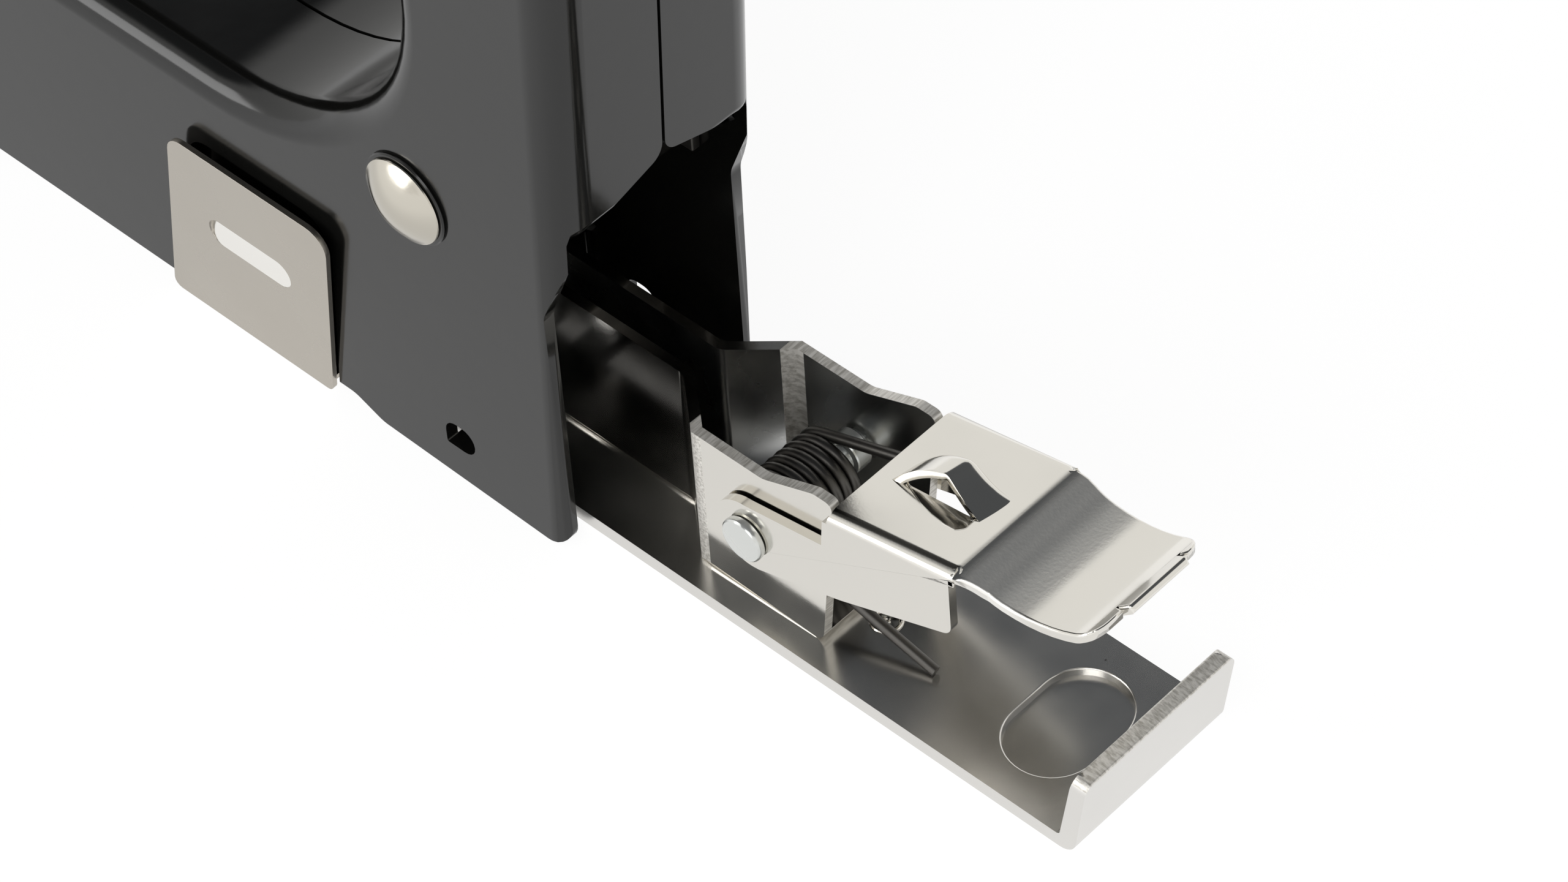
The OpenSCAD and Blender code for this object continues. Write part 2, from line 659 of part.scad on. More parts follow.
// Latch spring: a leg on the plate, the coil round the pin, and a leg under the lever
coil_r = latch_coil_r - latch_wire / 2;
low_end = [-36.4, plate_top + latch_wire / 2 + seat];
low_arm = low_end - [pin_x, pin_z];
low_angle = atan2(low_arm.y, low_arm.x) + acos(coil_r / norm(low_arm));
high_angle = 90 - latch_slope - 8 + 360 * (latch_turns + 1) - 360;
coil_steps = 20 * latch_turns;
spring_y0 = 5;
spring_y1 = -3;
latch_path = concat(
    [[low_end.x, 4, low_end.y], [(low_end.x + pin_x) / 2 - 2, 4.6, (low_end.y + pin_z + coil_r * sin(low_angle)) / 2 - 0.7]],
    [for (k = [0:coil_steps]) let (a = low_angle + (high_angle - low_angle) * k / coil_steps)
        [pin_x + coil_r * cos(a), spring_y0 + (spring_y1 - spring_y0) * k / coil_steps, pin_z + coil_r * sin(a)]],
    [let (d = [-sin(high_angle), cos(high_angle)])
        [pin_x + coil_r * cos(high_angle) + 12.5 * d.x, spring_y1, pin_z + coil_r * sin(high_angle) + 12.5 * d.y]]);

module latch_spring() color([0.35, 0.33, 0.3]) place() wire(latch_path, latch_wire / 2, 8, [0, 1, 0]);

// The latch lever's upper face: a straight plate, a bend, and the dished thumb plate
thumb_radius = 17.4;
thumb_low = bend_point + [-4.2, -1.2];
thumb_dip = bend_point + [-2.7, -1.1];
thumb_shift = 0.4;
thumb_left = thumb_width / 2 + thumb_shift;
thumb_right = thumb_width / 2 - thumb_shift;
latch_line = concat([[latch_front, latch_top]],
    corner([latch_front, latch_top], [bend_point.x, bend_point.y, 6], thumb_dip),
    corner(bend_point, [thumb_dip.x, thumb_dip.y, 5], thumb_low),
    [for (a = [0:5:35]) thumb_low + thumb_radius * [-sin(a), 1 - cos(a)]],
    [thumb_low + thumb_radius * [-sin(41.4), 1 - cos(41.4)]]);
thumb_rear = latch_line[len(latch_line) - 1].x;
// The thumb plate's end: a tongue between two nicks, a little longer than the corners beside it
tongue_left = 3.4;
tongue_right = -4.4;
tongue_step = 0.32;
nick = 0.7;
thumb_end = thumb_rear + tongue_step;

module latch_flange() {
    difference() {
        union() {
            polygon(rounded([[-43.6, 20.1, 1.6], [-29, 14.05, 20], [-17.9, pin_z - 4.2, 0], [-15.6, pin_z + 4.1, 0],
                [-26.9, latch_top - 4.6, 0], [-27.2, latch_top - latch_sheet, 0],
                [-43.4, latch_top - latch_sheet + 15.8 * tan(latch_slope), 0]]));
            translate([pin_x, pin_z]) circle(4.3);
        }
        translate([pin_x, pin_z]) circle(hinge_r + pin_fit);
    }
}

module latch_lever() color("silver") place() {
    both_sides() slab(latch_half - latch_sheet, latch_half) latch_flange();
    // Top plate and the narrower thumb plate with rounded corners
    intersection() {
        slab(-latch_half, latch_half) polygon(strip([for (i = [len(latch_line) - 1:-1:0]) latch_line[i]], latch_sheet));
        linear_extrude(60) polygon(rounded([[latch_front + 1, -latch_half, 0], [latch_front + 1, latch_half, 0],
            [bend_point.x + 1, latch_half, 1], [bend_point.x - 2.6, thumb_left, 1],
            [thumb_end, thumb_left, 2.2],
            [thumb_end, tongue_left + nick, 0], [thumb_end + nick, tongue_left + nick / 2, 0],
            [thumb_rear - 1, tongue_left, 0],
            [thumb_rear - 1, tongue_right, 0],
            [thumb_end + nick, tongue_right - nick / 2, 0], [thumb_end, tongue_right - nick, 0],
            [thumb_end, -thumb_right, 2.2],
            [bend_point.x - 7, -thumb_right - 0.5, 8], [bend_point.x - 0.8, -thumb_right - 0.9, 1],
            [bend_point.x + 1, -latch_half, 0.6]]));
    }
    // Hook that snaps behind the catch plate
    slab(-3.4, 2.6) polygon([for (p = [[hook_front, -0.2], [hook_ridge, hook_rise], [hook_back, -0.2]])
        [latch_front, latch_top] + p.x * latch_along + p.y * latch_up]);
}

module pusher() color("silver") place() difference() {
    union() {
        block(pusher_rear, pusher_front, -rail_half - 1.3, rail_half + 1.3, staple_rail_top + gap, staple_rail_top + gap + 1.6);
        both_sides() block(pusher_rear, pusher_front, rail_half + gap, rail_half + 1.3, 6, staple_rail_top + gap + 0.5);
        block(pusher_rear, pusher_front, rail_sheet + gap - rail_half, rail_half - rail_sheet - gap, 7, staple_rail_top + gap + 0.5);
    }
    long_bar(0, rod_height, rod_r + pin_fit, pusher_rear - 1, pusher_front + 1);
}

module pusher_rod() color("silver") place() long_bar(0, rod_height, rod_r, rod_rear, rail_front - plug);

push_wire = 0.35;
push_turns = 14;
push_path = [for (k = [0:push_turns * 12]) let (a = 30 * k, f = k / (push_turns * 12))
    [rod_rear + 0.3 + f * (pusher_rear - rod_rear - 0.6), (rod_r + 0.3) * cos(a), rod_height + (rod_r + 0.3) * sin(a)]];

module pusher_spring() color("silver") place() wire(push_path, push_wire / 2, 6, [1, 0, 0]);

module staple_strip() color("gainsboro") place() {
    outer = rail_half + 2 * seat + staple_wire;
    difference() {
        block(strip_front - strip_length, strip_front, -outer, outer, crown_top - staple_leg, crown_top);
        block(strip_front - strip_length - 1, strip_front + 1, staple_wire - outer, outer - staple_wire,
            0, crown_top - staple_wire);
    }
}

left_shell();
right_shell();
body_rivets();
rivet_spacers();
front_plate();
front_screws();
nose_guide();
nose_rivet();
bumper();
spring_seat();
main_spring();
guide_channel();
side_clip();
catch_plate();
handle_pin();
pivot_washers();
handle_lever();
handle_grip();
lift_pin();
plunger();
lift_strap();
driver_blade();
blade_pin();
base_plate();
plate_rivets();
staple_rail();
hinge_pin();
latch_spring();
latch_lever();
pusher();
pusher_rod();
pusher_spring();
staple_strip();
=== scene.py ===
"""Hand staple gun with its magazine drawn out: enamelled shells, nickelled magazine and latch."""
from math import acos, atan2, copysign, cos, degrees, pi, radians, sin

import bmesh
import bpy
from mathutils import Matrix, Quaternion, Vector


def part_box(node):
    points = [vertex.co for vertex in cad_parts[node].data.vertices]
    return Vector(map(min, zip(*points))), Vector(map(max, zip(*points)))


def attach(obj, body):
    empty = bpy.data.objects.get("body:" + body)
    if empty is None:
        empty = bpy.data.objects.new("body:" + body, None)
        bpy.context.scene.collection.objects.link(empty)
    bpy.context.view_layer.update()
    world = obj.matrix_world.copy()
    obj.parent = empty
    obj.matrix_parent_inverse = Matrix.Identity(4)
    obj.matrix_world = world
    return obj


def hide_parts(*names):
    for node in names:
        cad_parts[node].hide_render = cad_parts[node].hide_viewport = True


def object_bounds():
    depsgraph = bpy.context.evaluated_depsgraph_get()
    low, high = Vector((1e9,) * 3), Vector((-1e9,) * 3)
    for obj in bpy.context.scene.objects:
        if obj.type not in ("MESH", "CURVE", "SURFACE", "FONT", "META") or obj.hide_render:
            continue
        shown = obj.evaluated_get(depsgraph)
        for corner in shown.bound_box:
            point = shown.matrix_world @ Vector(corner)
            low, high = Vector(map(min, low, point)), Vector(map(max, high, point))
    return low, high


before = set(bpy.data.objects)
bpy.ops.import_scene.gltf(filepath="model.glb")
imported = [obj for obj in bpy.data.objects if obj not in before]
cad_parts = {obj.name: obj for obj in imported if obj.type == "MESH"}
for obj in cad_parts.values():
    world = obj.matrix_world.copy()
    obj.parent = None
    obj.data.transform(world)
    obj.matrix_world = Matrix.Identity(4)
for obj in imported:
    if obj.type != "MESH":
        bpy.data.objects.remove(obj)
cad_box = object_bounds()

MM = 0.001
# Where the front plate's outer face is, and how many millimetres it is ahead of the body's rear face
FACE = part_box("front_plate")[1].x
BODY_LENGTH = 160


def at(x, y, z):
    """A place in metres, from millimetres ahead of the body's rear face, to the left and up."""
    return Vector((FACE + (x - BODY_LENGTH) * MM, y * MM, z * MM))


# ---------------------------------------------------------------- materials

def tone(code):
    """The linear colour of an sRGB hex value."""
    parts = [int(code[i:i + 2], 16) / 255 for i in (1, 3, 5)]
    return [c / 12.92 if c <= 0.04045 else ((c + 0.055) / 1.055) ** 2.4 for c in parts] + [1.0]


def add(tree, kind, sockets=None, **settings):
    """Adds a node with its settings, and fills its sockets with values or links."""
    made = tree.nodes.new("ShaderNode" + kind)
    for key, value in settings.items():
        setattr(made, key, value)
    for key, value in (sockets or {}).items():
        if isinstance(value, bpy.types.NodeSocket):
            tree.links.new(value, made.inputs[key])
        else:
            made.inputs[key].default_value = value
    return made


def blank(name):
    """A new material's empty tree, and the Object coordinates that its patterns lie on."""
    made = bpy.data.materials.new(name)
    made.use_nodes = True
    made.node_tree.nodes.clear()
    return made, made.node_tree, add(made.node_tree, "TexCoord").outputs["Object"]


def close_up(material, tree, surface):
    """Ends a material's tree with its surface, and hands the material back."""
    add(tree, "OutputMaterial", {"Surface": surface})
    return material


def make_black_enamel():
    """Stoved enamel sprayed on pressed steel: deep black, glossy, with a faint orange peel and dust."""
    material, tree, place = blank("black_stoved_enamel")
    # Orange peel about 2.5 mm across, a dust grain of 0.25 mm, and clouds of 14 mm that change the gloss
    peel = add(tree, "TexNoise", {"Vector": place, "Scale": 1 / (2.5 * MM), "Detail": 1.0})
    dust = add(tree, "TexNoise", {"Vector": place, "Scale": 1 / (0.25 * MM), "Detail": 2.0})
    cloud = add(tree, "TexNoise", {"Vector": place, "Scale": 1 / (14 * MM), "Detail": 3.0})
    rough = add(tree, "MapRange", {"Value": cloud.outputs["Fac"], "From Min": 0.3, "From Max": 0.75,
                                   "To Min": 0.10, "To Max": 0.17})
    waves = add(tree, "Bump", {"Height": peel.outputs["Fac"], "Strength": 0.05, "Distance": 0.15 * MM})
    grain = add(tree, "Bump", {"Height": dust.outputs["Fac"], "Strength": 0.04, "Distance": 0.02 * MM,
                               "Normal": waves.outputs["Normal"]})
    body = add(tree, "BsdfPrincipled", {"Base Color": tone("#111110"), "IOR": 1.48,
                                        "Roughness": rough.outputs["Result"],
                                        "Normal": grain.outputs["Normal"]})
    return close_up(material, tree, body.outputs["BSDF"])


def make_rubbed_and_highlight_enamel():
    """Enamel rubbed thin along an edge: black and matt, broken by pale streaks of the steel below. On the
    rear corner the pale streaks are a painted highlight.
    """
    material, tree, place = blank("rubbed_enamel_and_painted_highlight_edge")
    # Streaks about 0.7 mm wide and six times as long, down the edge
    along = add(tree, "Mapping", {"Vector": place, "Scale": (1.0, 1.0, 0.16)})
    chip = add(tree, "TexNoise", {"Vector": along.outputs["Vector"], "Scale": 1 / (0.7 * MM), "Detail": 3.0})
    share = add(tree, "MapRange", {"Value": chip.outputs["Fac"], "From Min": 0.5, "From Max": 0.72,
                                   "To Max": 0.5})
    steel = add(tree, "BsdfPrincipled", {"Base Color": tone("#a8a69f"), "Metallic": 1.0, "Roughness": 0.38})
    paint = add(tree, "BsdfPrincipled", {"Base Color": tone("#141413"), "IOR": 1.48, "Roughness": 0.26})
    both = add(tree, "MixShader", {0: share.outputs["Result"], 1: paint.outputs["BSDF"],
                                   2: steel.outputs["BSDF"]})
    return close_up(material, tree, both.outputs["Shader"])


# Where a press has stretched the sheet over a bend, its plate is duller, grained and paler
BEND_ROUGHNESS, BEND_PEBBLE, BEND_TONE = 0.42, 0.5, "#f0eee9"


def make_nickel(name, colour, low, high, pebble, scratch, run=(1.0, 1.0, 1.0), bend=None):
    """Bright nickel plate on steel sheet: a warm mirror, clouded by handling, with fine scratches and pits.

    Its roughness lies between low and high, pebble and scratch are the strengths of its two reliefs, and
    the scratches run in the direction where run is small. bend gives four lengths along the gun: over the
    first two the plate turns into that of a stretched bend, and over the last two it turns back.
    """
    material, tree, place = blank(name)
    # Clouds about 9 mm across, pits of 0.2 mm some 5 mm apart, a plating pebble of 0.4 mm, and scratches
    # 0.12 mm wide along the sheet
    cloud = add(tree, "TexNoise", {"Vector": place, "Scale": 1 / (9 * MM), "Detail": 4.0})
    spot = add(tree, "TexVoronoi", {"Vector": place, "Scale": 1 / (5 * MM)})
    pit = add(tree, "MapRange", {"Value": spot.outputs["Distance"], "From Min": 0.012, "From Max": 0.036})
    skin = add(tree, "Mix", {0: pit.outputs["Result"], 6: tone("#7d776c"), 7: tone(colour)}, data_type="RGBA")
    grain = add(tree, "TexNoise", {"Vector": place, "Scale": 1 / (0.4 * MM), "Detail": 2.0})
    along = add(tree, "Mapping", {"Vector": place, "Scale": run})
    lines = add(tree, "TexNoise", {"Vector": along.outputs["Vector"], "Scale": 1 / (0.12 * MM),
                                   "Detail": 2.0})
    rough = add(tree, "MapRange", {"Value": cloud.outputs["Fac"], "From Min": 0.3, "From Max": 0.7,
                                   "To Min": low, "To Max": high})
    dull, grained, shade = rough.outputs["Result"], pebble, skin.outputs[2]
    if bend:
        along = add(tree, "SeparateXYZ", {"Vector": place})
        start, end = (add(tree, "MapRange", {"Value": along.outputs["X"], "From Min": at(a, 0, 0).x,
                                             "From Max": at(b, 0, 0).x}, interpolation_type="SMOOTHSTEP")
                      for a, b in (bend[:2], bend[:1:-1]))
        both = add(tree, "Math", {0: start.outputs["Result"], 1: end.outputs["Result"]}, operation="MULTIPLY")
        inside = both.outputs[0]
        dull = add(tree, "Mix", {0: inside, 2: dull, 3: BEND_ROUGHNESS}).outputs[0]
        grained = add(tree, "Mix", {0: inside, 2: pebble, 3: BEND_PEBBLE}).outputs[0]
        shade = add(tree, "Mix", {0: inside, 6: shade, 7: tone(BEND_TONE)}, data_type="RGBA").outputs[2]
    soft = add(tree, "Bump", {"Height": grain.outputs["Fac"], "Strength": grained, "Distance": 0.03 * MM})
    fine = add(tree, "Bump", {"Height": lines.outputs["Fac"], "Strength": scratch, "Distance": 0.02 * MM,
                              "Normal": soft.outputs["Normal"]})
    metal = add(tree, "BsdfPrincipled", {"Base Color": shade, "Metallic": 1.0, "Roughness": dull,
                                         "Normal": fine.outputs["Normal"]})
    return close_up(material, tree, metal.outputs["BSDF"])


# A torn edge scatters much of the light that falls on it
TORN_METAL = 0.45


def make_sheared_edge(name, run, apart, depth):
    """What a press leaves where it tears or coins nickelled sheet: paler, rougher, and streaked one way."""
    material, tree, place = blank(name)
    # Tear lines some tenths of a millimetre apart, drawn out in the direction where run is small
    along = add(tree, "Mapping", {"Vector": place, "Scale": run})
    tear = add(tree, "TexNoise", {"Vector": along.outputs["Vector"], "Scale": 1 / (apart * MM), "Detail": 3.0,
                                  "Roughness": 0.6})
    rough = add(tree, "MapRange", {"Value": tear.outputs["Fac"], "To Min": 0.25, "To Max": 0.5})
    shade = add(tree, "MapRange", {"Value": tear.outputs["Fac"], "From Min": 0.35, "From Max": 0.6})
    skin = add(tree, "Mix", {0: shade.outputs["Result"], 6: tone("#bebab2"), 7: tone("#efece6")},
               data_type="RGBA")
    torn = add(tree, "Bump", {"Height": tear.outputs["Fac"], "Strength": depth, "Distance": 0.1 * MM})
    metal = add(tree, "BsdfPrincipled", {"Base Color": skin.outputs[2], "Metallic": TORN_METAL,
                                         "Roughness": rough.outputs["Result"],
                                         "Normal": torn.outputs["Normal"]})
    return close_up(material, tree, metal.outputs["BSDF"])


def make_steel(name, colour, roughness, grain_mm, metal_share=1.0):
    """Steel that is bare, oiled or zinc-plated: ground finely, with a light grain."""
    material, tree, place = blank(name)
    grain = add(tree, "TexNoise", {"Vector": place, "Scale": 1 / (grain_mm * MM), "Detail": 3.0})
    rough = add(tree, "MapRange", {"Value": grain.outputs["Fac"], "To Min": roughness - 0.06,
                                   "To Max": roughness + 0.08})
    fine = add(tree, "Bump", {"Height": grain.outputs["Fac"], "Strength": 0.15, "Distance": 0.03 * MM})
    metal = add(tree, "BsdfPrincipled", {"Base Color": tone(colour), "Metallic": metal_share,
                                         "Roughness": rough.outputs["Result"],
                                         "Normal": fine.outputs["Normal"]})
    return close_up(material, tree, metal.outputs["BSDF"])


def make_moulded(name, colour, roughness, grain_mm, depth_mm):
    """Moulded plastic or rubber: even colour with the fine spark-eroded grain of its mould."""
    material, tree, place = blank(name)
    grain = add(tree, "TexNoise", {"Vector": place, "Scale": 1 / (grain_mm * MM), "Detail": 2.0})
    rough = add(tree, "MapRange", {"Value": grain.outputs["Fac"], "To Min": roughness - 0.05,
                                   "To Max": roughness + 0.1})
    fine = add(tree, "Bump", {"Height": grain.outputs["Fac"], "Strength": 0.5, "Distance": depth_mm * MM})
    solid = add(tree, "BsdfPrincipled", {"Base Color": tone(colour), "IOR": 1.5,
                                         "Roughness": rough.outputs["Result"],
                                         "Normal": fine.outputs["Normal"]})
    return close_up(material, tree, solid.outputs["BSDF"])


ENAMEL = make_black_enamel()
RUBBED_AND_HIGHLIGHT_ENAMEL = make_rubbed_and_highlight_enamel()
# A nickel takes its colour, its two roughnesses, the strengths of its pebble and scratches, and their run
NICKEL = make_nickel("bright_nickel_plate", "#dfdcd5", 0.09, 0.17, 0.04, 0.08, (0.4, 0.4, 1.0))
PLATE_NICKEL = make_nickel("drawn_nickel_plate", "#e0deda", 0.19, 0.27, 0.03, 0.05, (0.1, 1.0, 1.0))
LEVER_BEND = (-43.9, -45.6, -49.5, -53.5)
LEVER_NICKEL = make_nickel("nickel_dulled_over_a_bend", "#dfdcd5", 0.09, 0.17, 0.04, 0.08, (0.4, 0.4, 1.0),
                           LEVER_BEND)
# Darker, duller nickel for the rail's inner faces: a painted shade between its walls
SHADED_INNER_NICKEL = make_nickel("nickel_darkened_as_painted_shade", "#b4b4b2", 0.2, 0.34, 0.1, 0.06, (0.3, 0.3, 1.0))
COINED = make_sheared_edge("coined_nickel_band", (0.1, 1.0, 1.0), 0.5, 0.3)
SATIN_NICKEL = make_nickel("satin_nickel_plate", "#bab4aa", 0.24, 0.33, 0.1, 0.2)
# Paler nickel for the louvre's sunk faces: a painted highlight
LOUVRE_HIGHLIGHT_NICKEL = make_nickel("nickel_paled_as_painted_highlight", "#f7f5f0", 0.14, 0.22, 0.05, 0.1)
RIVET_NICKEL = make_nickel("tumbled_nickel_plate", "#c3beb3", 0.13, 0.22, 0.15, 0.2)
SHEARED = make_sheared_edge("nickel_sheared_across", (1.0, 0.12, 1.0), 0.3, 0.2)
SHEARED_LIP = make_sheared_edge("nickel_sheared_lip", (0.3, 1.0, 0.5), 0.28, 0.4)
ZINC = make_steel("bright_zinc_plate", "#dcdedb", 0.2, 0.7, 0.7)
BARE = make_steel("ground_bare_steel", "#8f8c86", 0.32, 0.4)
OILED = make_steel("oil_blackened_spring_wire", "#5d5b58", 0.4, 0.5)
STAPLE = make_steel("galvanised_staple_wire", "#b7b6b2", 0.3, 0.3)
PLASTIC = make_moulded("grained_grip_plastic", "#161617", 0.5, 0.7, 0.1)
RUBBER = make_moulded("black_bumper_rubber", "#131312", 0.7, 0.4, 0.06)

# ---------------------------------------------------------------- making meshes

# A CAD piece's loose triangles are joined where their corners are this close, and are one face where
# they are this flat. Pieces are shaded smooth over edges that turn less than the last angle.
WELD, FLAT, SMOOTH = 0.002 * MM, radians(0.3), radians(32)


def merged(node):
    """A workable copy of a CAD piece, with its loose triangles merged into flat faces."""
    bm = bmesh.new()
    bm.from_mesh(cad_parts[node].data)
    bmesh.ops.remove_doubles(bm, verts=bm.verts, dist=WELD)
    bmesh.ops.dissolve_limit(bm, angle_limit=FLAT, verts=bm.verts, edges=bm.edges,
                             use_dissolve_boundaries=False)
    bm.normal_update()
    return bm


def breadth(face, edge):
    """How far a face reaches from one of its edges."""
    a, b = (v.co for v in edge.verts)
    along = (b - a).normalized()
    return max(((v.co - a) - along * (v.co - a).dot(along)).length for v in face.verts)


def turn(edge):
    """The angle in degrees that the surface turns through at an edge, negative in a hollow."""
    return degrees(edge.calc_face_angle_signed(0.0)) if len(edge.link_faces) == 2 else 0.0


def round_off(bm, edges, radius, segments, held=True):
    """Rounds edges to a radius in millimetres, which stops where rounds would meet unless it isn't held."""
    bmesh.ops.bevel(bm, geom=edges, offset=radius * MM, offset_type="OFFSET", segments=segments,
                    profile=0.5, affect="EDGES", clamp_overlap=held, material=-1)
    bm.normal_update()


def folds(bm, sheet):
    """The outer edges of the bends in a sheet, where a wide face meets a wide face."""
    wide = 1.35 * sheet * MM
    return [e for e in bm.edges if turn(e) > 30 and all(breadth(f, e) > wide for f in e.link_faces)]


def cut_faces(bm, sheet):
    """The faces that a press cut: about as narrow as the sheet is thick, measured from their long edges."""
    long_edge, narrow = 0.6 * sheet * MM, 1.12 * sheet * MM
    return [f for f in bm.faces
            if any(e.calc_length() > long_edge and breadth(f, e) < narrow for e in f.edges)]


def corners(bm, least):
    """Every outer edge where the surface turns through more than least degrees."""
    return [e for e in bm.edges if turn(e) > least]


def finished(bm, name, body, materials, replaced=()):
    """Puts a mesh in the scene as a piece that rides on a body, shaded smooth between sharp edges."""
    bmesh.ops.dissolve_degenerate(bm, dist=0.0005 * MM, edges=bm.edges)
    mesh = bpy.data.meshes.new(name)
    bm.to_mesh(mesh)
    bm.free()
    for material in materials:
        mesh.materials.append(material)
    mesh.shade_smooth()
    mesh.set_sharp_from_angle(angle=SMOOTH)
    piece = bpy.data.objects.new(name, mesh)
    bpy.context.scene.collection.objects.link(piece)
    weigh = piece.modifiers.new("even_shading", "WEIGHTED_NORMAL")
    weigh.keep_sharp = True
    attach(piece, body)
    if replaced:
        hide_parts(*replaced)


def soften(node, width, material):
    """Breaks the edges of a CAD piece that keeps its own mesh, and gives it its finish."""
    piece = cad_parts[node]
    piece.data.materials.clear()
    piece.data.materials.append(material)
    weld = piece.modifiers.new("merge", "WELD")
    weld.merge_threshold = WELD
    flat = piece.modifiers.new("flat_faces", "DECIMATE")
    flat.decimate_type = "DISSOLVE"
    flat.angle_limit = FLAT
    edge = piece.modifiers.new("broken_edges", "BEVEL")
    edge.width = width * MM
    edge.segments = 2
    edge.limit_method = "ANGLE"
    edge.angle_limit = radians(35)
    edge.harden_normals = True
    piece.data.shade_smooth()


# ---------------------------------------------------------------- body

# Half the body's width, the shells' sheet, and the radii of its bends, of the finger opening and of its
# cut edges
BODY_HALF, SHELL_SHEET, SHELL_BEND, OPENING_BEND, SHELL_EDGE = 14.0, 1.5, 1.4, 3.7, 0.22
# Where the finger opening's rim lies in length and height. Nearer the middle than OPENING_SEAM is its
# free edge, along which the two shells meet.
OPENING_X, OPENING_Z, OPENING_SEAM = (19.5, 114), (35.5, 80), 8
# Faces smaller than SCUFF_AND_HIGHLIGHT_AREA square millimetres take the pale streaked enamel: on the rear
# corner above
# HIGHLIGHT_STREAK_FOOT, where the streaks are a painted highlight, and within SLOT_REACH of the small slot
# near the heel, where the enamel is rubbed thin
SCUFF_AND_HIGHLIGHT_AREA, HIGHLIGHT_STREAK_FOOT, SLOT, SLOT_REACH = 60, 38, at(19.4, BODY_HALF, 6.6), 4


def back_of(co):
    """How many millimetres a place is ahead of the body's rear face."""
    return (co.x - FACE) / MM + BODY_LENGTH


def by_opening(edge):
    """Whether an edge belongs to the finger opening's rim."""
    return all(OPENING_X[0] < back_of(v.co) < OPENING_X[1] and OPENING_Z[0] < v.co.z / MM < OPENING_Z[1]
               for v in edge.verts)


def make_shell(side):
    """One half of the pressed body: rolled along every flange, cut square along its free edges."""
    node = side + "_shell"
    bm = merged(node)
    bends = [e for e in folds(bm, SHELL_SHEET) if not by_opening(e)]
    round_off(bm, bends, SHELL_BEND, 5, held=False)
    # The finger opening is rolled in with a larger radius, and its free edge at the seam stays square
    opening = [e for e in folds(bm, SHELL_SHEET)
               if by_opening(e) and abs(e.verts[0].co.y) > OPENING_SEAM * MM]
    round_off(bm, opening, OPENING_BEND, 8, held=False)
    round_off(bm, corners(bm, 40), SHELL_EDGE, 2)
    # A face's lean is 0 where it looks along the gun or up, and 1 on the flat side
    for face in bm.faces:
        middle, lean = face.calc_center_median(), abs(face.normal.y)
        if face.calc_area() < SCUFF_AND_HIGHLIGHT_AREA * MM ** 2:
            out = abs(middle.y) / MM
            rear = back_of(middle) < SHELL_BEND and out > 12.4 and middle.z > HIGHLIGHT_STREAK_FOOT * MM
            at_slot = out > 13.6 and (middle - SLOT).xz.length < SLOT_REACH * MM
            # On the rear corner the pale streaked enamel is a painted highlight; by the slot it is enamel
            # rubbed thin
            if (rear and 0.2 < lean < 0.5 and face.normal.x < -0.5) or (at_slot and 0.2 < lean < 0.97):
                face.material_index = 1
    finished(bm, "pressed_" + node, "body", [ENAMEL, RUBBED_AND_HIGHLIGHT_ENAMEL], [node])


make_shell("left")
make_shell("right")

# CAD pieces that keep their own shape, with the width in millimetres of their broken edges
for node, width, material in (
        # The rivet spacers take the dark oiled steel so that they stay as dark as the shade inside the body:
        # a painted shade
        ("rivet_spacers", 0.1, OILED), ("front_plate", 0.35, NICKEL),
        ("front_screws", 0.2, ZINC), ("nose_guide", 0.2, BARE), ("nose_rivet", 0.12, NICKEL),
        ("bumper", 0.4, RUBBER), ("spring_seat", 0.2, BARE), ("guide_channel", 0.2, ENAMEL),
        ("catch_plate", 0.2, OILED), ("handle_pin", 0.15, NICKEL), ("pivot_washers", 0.15, BARE),
        ("handle_lever", 0.3, NICKEL), ("handle_grip", 0.6, PLASTIC), ("lift_pin", 0.2, BARE),
        ("plunger", 0.3, BARE), ("lift_strap", 0.2, BARE), ("driver_blade", 0.1, BARE),
        ("blade_pin", 0.1, BARE), ("plate_rivets", 0.1, NICKEL), ("pusher", 0.15, NICKEL),
        ("pusher_rod", 0.1, BARE), ("staple_strip", 0.1, STAPLE)):
    soften(node, width, material)

# Springs are round already
for node, material in (("main_spring", OILED), ("pusher_spring", BARE)):
    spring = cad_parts[node]
    spring.data.materials.clear()
    spring.data.materials.append(material)
    spring.data.shade_smooth()

# ---------------------------------------------------------------- magazine

# The base plate's thickness, upper face and edge rounding
PLATE_SHEET, PLATE_TOP, PLATE_EDGE = 1.76, 3.6, 0.2
# The finger dimple's place, its length across the plate, the radius of its ends, its depth, how much its
# wall draws in, and half the sides of a box round it
DIMPLE_X, DIMPLE_LENGTH, DIMPLE_R, DIMPLE_DEPTH, DIMPLE_DRAFT = -50, 14.7, 4.95, 1.0, 0.05
DIMPLE_BOX = (5.2, 7.5)
# The rail's thickness, and the radii of its foot, of its jogs and of its cut edges
RAIL_SHEET, RAIL_FOOT, RAIL_JOG, RAIL_EDGE = 1.15, 0.5, 0.7, 0.16
# The band coined across the ears: its reach in length, its lower end, its margin and its depth
COINED_X, COINED_FOOT, COINED_MARGIN, COINED_DEPTH = (-9.8, -7.7), 12, 0.12, 0.07


